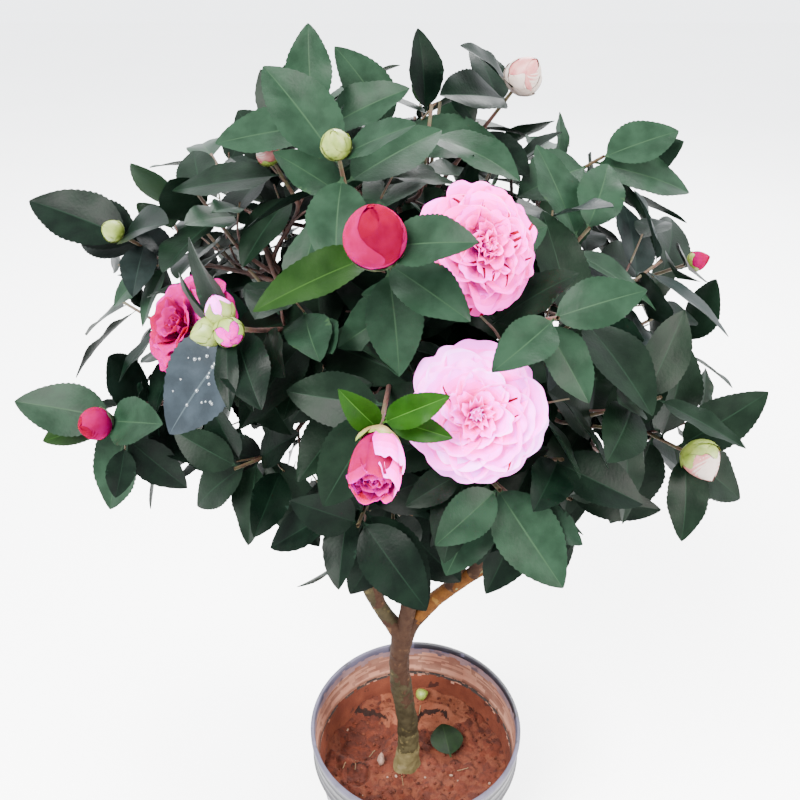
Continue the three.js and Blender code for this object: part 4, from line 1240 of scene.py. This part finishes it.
def dress_twigs(canopy):
    """The stems of the masses and all twigs, brown at first and of a younger colour in their last third."""
    twigs = Batch()
    for mass in MASSES:
        limb = limbs[mass["name"]]
        stem = [limb["entry"] + limb["arrive"] * step for step in np.linspace(-4, STEM_LENGTH, 8)]
        add_tube(twigs, stem, np.linspace(STEM_RADIUS * 1.1, TWIG["base"] * 0.9, 8), 10, 0)
    for shoot in canopy.shoots:
        if not shoot.get("fine"):
            straight = [lerp(shoot["corners"][-2], shoot["tip"], t) for t in np.linspace(0.1, 1, 8)]
            path = np.vstack([points_on(shoot["curve"], TWIG["samples"]), straight])
            radii = np.linspace(TWIG["base"], TWIG["tip"], len(path))
        elif shoot.get("borne"):
            path = np.array([bezier(*shoot["corners"][[0, 1, 1, 2]])(t) for t in np.linspace(0, 1, 9)])
            radii = np.linspace(*FINE["radii"], 9)
        else:
            continue
        radii = radii * (1 + 0.08 * value_noise(path, 9))
        cut = len(path) * 2 // 3
        add_tube(twigs, path[:cut + 1], radii[:cut + 1], 7, 0)
        add_tube(twigs, path[cut:], radii[cut:], 7, 1)
    looks = [
        surface("twig_brown", "56302A", "704234", 220, 0.7, 0.5, 700),
        surface("twig_young", "6A4434", "66603C", 160, 0.6, 0.4, 700, 0.0005),
    ]
    ride(twigs.build("twigs", looks), "boughs")


def dress_crown():
    canopy = grow_canopy()
    dress_leaves(canopy)
    dress_twigs(canopy)
    blossom = Batch()
    add_blossom(blossom, canopy.shoots, np.random.default_rng(BLOSSOM_SEED))
    ride(blossom.build("blossom", blossom_materials()), "foliage")


LIMB_STEPS = 400
# The spacing of a limb's rings in millimetres, their number of sides and the depth of the bark's relief
TRUNK_MESH = dict(pitch=1.6, sides=44, rough=0.75)
BOUGH_MESH = dict(pitch=2.4, sides=22, rough=0.3)
OLIVE_BARK, PAINTED_LIT_BARK, LICHEN, PALE_BARK, BROWN_BARK, BUFF_BARK = range(6)


def limb_places(limb, pitch):
    """Places along a limb's curve that are evenly spaced in millimetres, and the limb's length."""
    fine = points_on(limb["curve"], LIMB_STEPS)
    run = np.concatenate([[0], np.cumsum(np.linalg.norm(np.diff(fine, axis=0), axis=1))])
    shares = np.linspace(0, run[-1], int(run[-1] / pitch) + 2)
    return np.interp(shares, run, np.arange(LIMB_STEPS + 1) / LIMB_STEPS), run[-1]


def dress_bark():
    """The trunk and the boughs with the relief of their bark."""
    bark = Batch()
    for name, limb in limbs.items():
        trunk = name == "trunk"
        mesh = TRUNK_MESH if trunk else BOUGH_MESH
        sides, rough = mesh["sides"], mesh["rough"]
        at, length = limb_places(limb, mesh["pitch"])
        path = np.array([limb["curve"](t) for t in at])
        radii = np.array([limb["radius"](t) for t in at])
        run = at * length
        if trunk:
            # It swells at its fork and is closed there by a dome
            radii = radii + 1.6 * np.exp(-(((length - run) / 18) ** 2))
            dome = np.linspace(0.1, 1, 8)
            path = np.vstack([path, path[-1] + np.outer(dome * 13, tangent(limb["curve"], 1))])
            radii = np.append(radii, radii[-1] * np.sqrt(1.02 - dome**2))
            run = np.append(run, np.full(8, length))
        else:
            # It swells where it leaves the limb that bears it
            radii = radii + 0.32 * radii[0] * np.exp(-((run / 14) ** 2))
        bare = tube_points(path, radii, sides)
        stretched = bare * [1, 1, 0.4] if trunk else bare
        relief = rough * value_noise(stretched, 4, 3) + 0.6 * rough * value_noise(bare, 2.2, 4)
        relief += 1.6 * rough * value_noise(bare, 17, 5)
        if trunk:
            roots = np.exp(-run / 12)[:, None] * np.maximum(0, np.cos(2.5 * turns_round(sides) + 0.7)) * 3.2
            relief = relief + roots
        rings = tube_points(path, radii, sides, relief)
        rings[..., 2] = np.maximum(rings[..., 2], SOIL_TOP - 7)
        moss = value_noise(rings, 13, 8) + 0.5 * value_noise(rings, 4, 9)
        middle = moss[:-1]
        above = rings[:-1, :, 2]
        if trunk:
            tones = np.where(above > 290 + 44 * middle, BROWN_BARK, OLIVE_BARK)
            tones = np.where(above < SOIL_TOP + 62 + 26 * middle, BUFF_BARK, tones)
            tones = np.where(above < SOIL_TOP + 30 + 16 * middle, PALE_BARK, tones)
        # The right bough is orange-brown above its base: painted light over its own brown bark
        elif name == "right":
            patched = np.where(middle > 0.35, LICHEN, PAINTED_LIT_BARK)
            tones = np.where(above < 396 + 14 * middle, BROWN_BARK, patched)
        elif name == "left":
            tones = np.where(above < 392 + 16 * middle, BROWN_BARK, OLIVE_BARK)
        else:
            tones = np.full(middle.shape, BROWN_BARK)
        bark.add(rings, grid_faces(len(rings), sides, closed=True), tones)
    dark, pale_and_painted_lit = (dict(share=share, Specular_IOR_Level=0.07) for share in (0.235, 0.265))
    looks = [
        surface("bark_olive", "3D3420", "504630", 110, 0.85, 0.7, 380, 0.001, ("6C5F3C", 90, 0.62), **dark),
        # Painted light: the lit orange-brown of the right bough
        surface("bark_painted_lit", "683C15", "80501E", 120, 0.8, 0.8, 380, 0.0012, ("94692F", 110, 0.62), **pale_and_painted_lit),
        surface("lichen", "655D25", "786F32", 160, 0.9, 0.8, 500, 0.001),
        surface("bark_pale", "82764E", "9C8E62", 120, 0.85, 0.6, 380, 0.0008, ("A0926A", 90, 0.6), **pale_and_painted_lit),
        surface("bark_brown", "42291C", "52392A", 120, 0.85, 0.7, 380, 0.001, ("705038", 90, 0.62), **dark),
        surface("bark_buff", "50472E", "665D40", 120, 0.85, 0.6, 380, 0.001, ("847650", 90, 0.6), **pale_and_painted_lit),
    ]
    ride(bark.build("bark", looks), "trunk", "trunk", *[f"bough_{m['name']}" for m in MASSES])


# The pot's sizes in millimetres, its number of sides, and the numbers of its materials
POT = dict(height=220, rim=125, band=123.4, band_height=44, shoulder=119.5, base=97, wall=2.6)
POT_SIDES = 144
PLASTIC, DUSTY, MUD_AND_SHADE, DEBRIS, LILAC_AND_HIGHLIGHT, STAIN, POT_BLUSH = range(7)


def inner_wall(height):
    """The radius of the pot's inside at a height, the same as in the solids."""
    rise = (height - 3) / (POT["height"] - POT["band_height"] - 7)
    return lerp(POT["base"], POT["shoulder"], rise) - POT["wall"]


def soil_height(x, y):
    """The soil's top in the solids: lumpy, and level round the trunk."""
    clods = 2.2 * np.sin(x / 15 + 0.8) * np.cos(y / 19) + 1.4 * np.sin((x - y) / 9) - 1.5
    spread = np.clip((np.hypot(x, y) - 38) / 22, 0, 1)
    return SOIL_TOP + clods * spread * spread * (3 - 2 * spread)


def dress_pot():
    """The nursery pot: a tapered wall, an upright band with ridges under the rim, and a dusty inside."""
    band = POT["height"] - POT["band_height"]
    h, rim, wide, shoulder, base = POT["height"], POT["rim"], POT["band"], POT["shoulder"], POT["base"]
    outside = [(0, 0), (base - 12, 0), (base - 9, 1.2), (base - 3, 0), (base, 2.5), (base + 1.2, 9)]
    outside += [(lerp(base + 1.2, shoulder, t), lerp(9, band - 7, t)) for t in np.linspace(0.1, 1, 10)]
    outside += [(shoulder + 0.4, band - 5), (wide - 0.8, band - 2)]
    ridges = (
        (0.4, 0), (0.5, 2), (-0.9, 3.4), (-0.9, 11), (-0.1, 12), (-0.9, 13), (-0.8, 24), (0, 25), (-0.8, 26),
    )
    outside += [(wide + out, band + up) for out, up in ridges]
    outside += [(wide - 0.5, h - 11), (wide, h - 9.5)]
    lip = ((0.4, 8), (0, 6.5), (0, 2.5), (0.5, 0.8), (1.4, 0))
    outside += [(rim - back, h - down) for back, down in lip]
    inside = [(wide - 2.2, h - 0.1), (wide - 3, h - 1)]
    inside += [(wide - 3.2 - 0.5 * (k % 2), z) for k, z in enumerate(np.arange(h - 5, band + 4, -2.6))]
    inside += [(wide - 4.4, band), (shoulder - 2.8, band - 4)]
    inside += [(inner_wall(z) + 0.35 * (k % 2), z) for k, z in enumerate(range(172, 136, -2))]
    inside += [(inner_wall(z), z) for z in (120, 60, 4)] + [(0, 4)]
    profile = np.array(outside + inside)
    turns = turns_round(POT_SIDES)
    rings = []
    for radius, height in profile:
        rise = height / h
        soft = 1 + 0.0022 * rise * np.cos(2 * turns + 0.6) + 0.0012 * rise * np.cos(3 * turns + 2)
        ring = [radius * soft * np.cos(turns), radius * soft * np.sin(turns), np.full(POT_SIDES, height)]
        rings.append(np.stack(ring, -1))
    rings = np.array(rings, float)
    middle = rings[:-1]
    level = middle[..., 2]
    within = np.broadcast_to((np.arange(len(middle)) >= len(outside) - 1)[:, None], level.shape)
    ragged = value_noise(middle, 9, 2) + 0.6 * value_noise(middle, 3, 6)
    drawn_out = value_noise(middle * [1, 1, 9], 26, 7)
    edge = np.abs(level - 170 - 1.6 * value_noise(middle, 5, 10))
    tones = np.full(level.shape, PLASTIC)
    for tone, where in (
        (DUSTY, within),
        # Below the line of debris the inside is darker: smeared soil and painted shade
        (MUD_AND_SHADE, within & (level + 4 * ragged < 168)),
        (STAIN, within & (level > 172) & (drawn_out > 0.12)),
        # The top of the rim, inside and out, is lilac: the plastic's lilac-grey with painted highlight; the
        # blush tone blends it into the dust below
        (POT_BLUSH, within & (level + 4 * ragged > h - 16)),
        (LILAC_AND_HIGHLIGHT, within & (level + 3 * ragged > h - 7)),
        (DEBRIS, within & (edge < 2.2) & (ragged > -0.5)),
        (LILAC_AND_HIGHLIGHT, ~within & (level > h - 10)),
        # Painted shade: the rim's right and back is left in the dark plastic
        (PLASTIC, (middle[..., 0] > 5) & (middle[..., 1] > 0) & (level > h - 7) & (ragged > -0.7)),
    ):
        tones[where] = tone
    pot = Batch()
    pot.add(rings, grid_faces(len(rings), POT_SIDES, closed=True), tones)
    matt = dict(Specular_IOR_Level=0.2)
    looks = [
        surface("pot_plastic", "15131E", "232030", 45, 0.5, 0.35, 260, fleck=("403A4C", 60, 0.68)),
        surface("pot_dusty", "BC7C66", "D49880", 30, 0.85, 0.5, 300, 0.0008, ("9C6A58", 60, 0.62), **matt),
        surface("pot_mud_and_shade", "6A2E1C", "86432C", 40, 0.9, 0.7, 300, 0.001, ("4A2218", 70, 0.62), **matt),
        surface("debris", "1E1410", "38241A", 300, 0.95, 1.0, 900, 0.0015, ("8A6450", 300, 0.6)),
        surface("pot_lilac_and_highlight", "454058", "625C78", 36, 0.7, 0.4, 300, fleck=("2A2636", 50, 0.62)),
        surface("pot_stain", "925E4E", "A87462", 60, 0.85, 0.6, 400, 0.0008, **matt),
        surface("pot_blush", "7C5C62", "9A767A", 40, 0.8, 0.5, 300, 0.0007, ("5C4650", 60, 0.6)),
    ]
    ride(pot.build("nursery_pot", looks), "pot", "pot")


# Hollows in the soil: place, radius and depth
SOIL_HOLLOWS = [(-66, 46, 36, 9), (-72, -14, 14, 6), (24, 54, 25, 8), (56, -34, 24, 3), (-2, -72, 26, 3)]
DEEP_HOLLOW = 5
CLODS, CRUMBS, STRAWS, CHIPS = 900, 300, 8, 14
RED_CLAY, BROWN_CLAY, PALE_CLAY, GRIT, STRAW, CHIP, CLAY_SHADE, SLAB = range(8)


def dress_soil(rng):
    """The soil as a skin of clods, with crumbs, straws and chips on it. Returns its height at a place."""
    step, edge = 1.5, inner_wall(SOIL_TOP) - 0.2
    across_it = np.arange(-edge, edge + step, step)
    x, y = np.meshgrid(across_it, across_it, indexing="xy")
    far = np.hypot(x, y)
    squeeze = np.where(far > edge, edge / np.maximum(far, 1), 1)
    x, y = x * squeeze, y * squeeze
    centres = rng.uniform(-edge, edge, (CLODS, 2))
    radii = rng.uniform(2.5, 10, CLODS) * rng.uniform(0.5, 1, CLODS)
    tall = np.zeros_like(x)
    owner = np.full(x.shape, -1)
    fine = np.stack([x, y, 0 * x], -1)
    flat = value_noise(fine, 5, 11)
    for i, (centre, radius) in enumerate(zip(centres, radii)):
        away = np.hypot(x - centre[0], (y - centre[1]) * rng.uniform(0.8, 1.25)) / radius
        bump = 0.42 * radius * np.sqrt(np.clip(1 - (away + 0.14 * flat) ** 2, 0, 1))
        higher = bump > tall
        tall[higher], owner[higher] = bump[higher], i
    around = np.hypot(x - TRUNK["base"][0], y)
    slab = np.clip((y - 46) / 18, 0, 1) * np.clip((70 - np.abs(x - 12)) / 25, 0, 1)
    clods = (tall - 1.7) * np.clip((around - 16) / 26, 0.35, 1) * (1 - 0.8 * slab)
    z = soil_height(x, y) + clods + 2.5 * slab
    # Each hollow has a low rim; if it is deep, its clay is painted darker as shade, and a thin arc of
    # painted shade lies on the wall at its back
    painted_back_shade, sunk = np.zeros(x.shape, bool), np.zeros(x.shape, bool)
    for hollow_x, hollow_y, radius, depth in SOIL_HOLLOWS:
        away = np.hypot(x - hollow_x, (y - hollow_y) * 0.9) / radius + 0.1 * value_noise(fine, 11, 16)
        z = z - depth * np.clip((1.12 - away) / 0.24, 0, 1) * (1.1 - 0.2 * away)
        z = z + 0.25 * depth * np.exp(-(((away - 1.25) / 0.12) ** 2))
        towards_back = (y - hollow_y) / np.maximum(np.hypot(x - hollow_x, y - hollow_y), 1)
        wide = 0.06 * np.clip(2.2 * towards_back - 0.9, 0, 1) + 0.045 * value_noise(fine, 5, 17)
        painted_back_shade |= (np.abs(away - 0.95) < wide) & (towards_back > 0.3) & (depth > DEEP_HOLLOW)
        sunk |= (away < 0.92) & (depth > DEEP_HOLLOW)
    for height, size, seed in ((0.8, 3, 12), (0.5, 1.8, 13), (2, 26, 14)):
        z = z + height * value_noise(fine, size, seed)
    at_wall = np.clip((np.hypot(x, y) - edge + 9) / 9, 0, 1)
    z = z + 3 * at_wall**2 * (0.4 + 0.6 * value_noise(fine, 14, 15))
    z = np.minimum(z, SOIL_TOP + 9)
    count = len(across_it)
    quads = grid_faces(count, count)
    keep = (far.ravel()[quads] <= edge + step).any(1)
    tones = np.choose(owner * 7 % 5, [RED_CLAY, RED_CLAY, BROWN_CLAY, PALE_CLAY, RED_CLAY])
    tones = np.where(sunk, np.where(tones == PALE_CLAY, RED_CLAY, BROWN_CLAY), tones)
    tones = np.where(slab - 0.15 * flat > 0.5, SLAB, tones)
    tones = np.where(painted_back_shade, CLAY_SHADE, tones)[:-1, :-1].ravel()
    soil = Batch()
    soil.add(np.stack([x, y, z], -1), quads[keep], tones[keep])

    def ground(px, py):
        return float(z[np.abs(across_it - py).argmin(), np.abs(across_it - px).argmin()])

    def crumb(px, py, size, raised, tone):
        add_crumb(soil, np.array([px, py, ground(px, py) + raised * size]), size, tone, rng)

    for _ in range(CRUMBS):
        a, far_out = rng.uniform(0, 2 * math.pi), edge * math.sqrt(rng.uniform(0.02, 0.9))
        px, py, size = far_out * math.cos(a), far_out * math.sin(a), rng.uniform(0.7, 2.6)
        if math.hypot(px - TRUNK["base"][0], py) >= 20:
            tone = int(rng.choice([RED_CLAY, BROWN_CLAY, PALE_CLAY, GRIT], p=[0.36, 0.32, 0.3, 0.02]))
            crumb(px, py, size, 0.35, tone)
    for _ in range(STRAWS):
        a, far_out = rng.uniform(0, 2 * math.pi), edge * math.sqrt(rng.uniform(0.05, 0.75))
        px, py, way = far_out * math.cos(a), far_out * math.sin(a), rng.uniform(0, math.pi)
        reach = rng.uniform(6, 16)
        steps = np.linspace(-reach / 2, reach / 2, 7)
        path = [np.array([px + s * math.cos(way), py + s * math.sin(way), 0]) for s in steps]
        path = np.array([p + [0, 0, ground(p[0], p[1]) + 0.8] for p in path])
        path[:, 2] = np.maximum(path[:, 2], path[:, 2].mean())
        add_tube(soil, path, np.full(7, rng.uniform(0.35, 0.7)), 5, STRAW)
    for _ in range(CHIPS):
        px, py = TRUNK["base"][0] + rng.uniform(-26, 26), rng.uniform(-40, -18)
        size = rng.uniform(1.4, 3)
        crumb(px, py, size, 0.5, int(rng.choice([PALE_CLAY, PALE_CLAY, CHIP])))
    add_crumb(soil, np.array([-42.0, -2.0, ground(-42, -2) + 6]), 5.6, CHIP, rng, flat=1.7)
    dry = dict(Specular_IOR_Level=0.25)
    looks = [
        surface("clay_red", "622612", "723019", 90, 0.95, 1.0, 900, 0.0012, ("501F12", 120, 0.62), **dry),
        surface("clay_brown", "521F10", "662A17", 90, 0.95, 1.0, 900, 0.0012, ("441B10", 120, 0.62), **dry),
        surface("clay_pale", "6C311C", "7E4028", 90, 0.95, 1.0, 900, 0.0012, ("5A2716", 120, 0.6), **dry),
        surface("grit", "94705C", "B08C76", 200, 0.9, 0.5, 900, 0.0008),
        surface("straw", "8A6A44", "A8865A", 200, 0.8, 0.3, 900, 0.0005),
        surface("chip", "A07868", "B89282", 120, 0.85, 0.5, 600, 0.0008),
        surface("clay_shade", "24100A", "34180F", 120, 0.95, 1.0, 900, 0.0012, Specular_IOR_Level=0.2),
        surface(
            "clay_slab", "82452E", "92553E", 60, 0.95, 0.6, 900, 0.0008, ("703624", 90, 0.62),
            Specular_IOR_Level=0.15,
        ),
    ]
    ride(soil.build("soil_surface", looks), "soil", "soil")
    return ground


def add_crumb(batch, centre, size, tone, rng, flat=0.75):
    """A rough lump: a coarse ball with its corners pushed about."""
    rises = np.radians([-90, -45, 0, 45, 90])
    ball = lathed(np.cos(rises), np.sin(rises), 7)
    push = rng.uniform(0.75, 1.25, ball.shape[:2])
    push[0], push[-1] = 1, 1
    points = ball * push[..., None] * size * np.array([1, rng.uniform(0.7, 1), flat])
    a = rng.uniform(0, math.pi)
    spin = np.array([[math.cos(a), math.sin(a), 0], [-math.sin(a), math.cos(a), 0], [0, 0, 1]])
    batch.add(centre + points @ spin, grid_faces(5, 7, closed=True), tone)


SOIL_SEED, FALLEN_SEED = 21, 3


def dress_fallen(ground):
    """The round leaf and the bud that lie on the soil. ground gives the soil's height at a place."""
    rng = np.random.default_rng(FALLEN_SEED)
    along = direction(100, 4)
    side = unit(np.cross(UP, along))
    middle = np.array([40, 28, ground(40, 28) + 5.5])
    leaf = dict(
        base=middle - along * 26, along=along, side=side, face=np.cross(along, side), length=52.0,
        width_share=0.8,
    )
    fallen = Batch()
    add_leaf(fallen, leaf, "dull", 26, rng)
    ride(fallen.build("dropped_leaf", leaf_materials()), "fallen", "fallen_leaf")
    bud = Batch()
    low = np.array([4, 94, ground(4, 94) + 7.5])
    add_bud(bud, low, direction(20, 0), 7, GREEN, "scale_green", rng, 0.7)
    ride(bud.build("dropped_bud", blossom_materials()), "fallen", "fallen_bud")


def area_light(name, place, target, size, power, colour=(1, 1, 1)):
    """A round lamp that faces a target."""
    lamp = bpy.data.lights.new(name, "AREA")
    lamp.shape, lamp.size, lamp.energy, lamp.color = "DISK", size, power, colour
    light = bpy.data.objects.new(name, lamp)
    light.location = place
    light.rotation_euler = (Vector(target) - Vector(place)).to_track_quat("-Z", "Y").to_euler()
    bpy.context.scene.collection.objects.link(light)


SKY, SKY_STRENGTH = (0.93, 0.96, 1.0, 1.0), 4.2
LENS, SENSOR, TILT = 40.5, 36, 57.8  # millimetres and degrees


def set_stage():
    """The floor, the lights and the camera, in metres. The camera stands where the photograph's did."""
    floor_mesh = bpy.data.meshes.new("floor")
    floor_mesh.from_pydata([(-6, -6, 0), (6, -6, 0), (6, 6, 0), (-6, 6, 0)], [], [(0, 1, 2, 3)])
    floor = bpy.data.objects.new("floor", floor_mesh)
    bpy.context.scene.collection.objects.link(floor)
    floor_mesh.materials.append(surface("floor", "F4F4F4", "F6F6F6", 2, 0.9, 0, share=1.0))
    world = bpy.data.worlds.new("studio")
    world.use_nodes = True
    background = world.node_tree.nodes["Background"]
    background.inputs["Color"].default_value = SKY
    background.inputs["Strength"].default_value = SKY_STRENGTH
    bpy.context.scene.world = world
    area_light("key", (-1.3, -1.6, 2.9), (0, 0, 0.7), 1.6, 600, (1.0, 0.98, 0.95))
    area_light("right", (1.9, -0.9, 1.5), (0.05, 0, 0.55), 1.1, 180, (1.0, 0.95, 0.88))
    area_light("behind", (0.4, 2.0, 2.4), (0, 0, 0.8), 1.6, 230)
    camera = bpy.data.cameras.new("view")
    camera.lens, camera.sensor_width = LENS, SENSOR
    eye = bpy.data.objects.new("view", camera)
    eye.location = EYE * MM
    eye.rotation_euler = (math.radians(TILT), 0, 0)
    bpy.context.scene.collection.objects.link(eye)
    bpy.context.scene.camera = eye


dress_crown()
dress_bark()
dress_pot()
dress_fallen(dress_soil(np.random.default_rng(SOIL_SEED)))
set_stage()
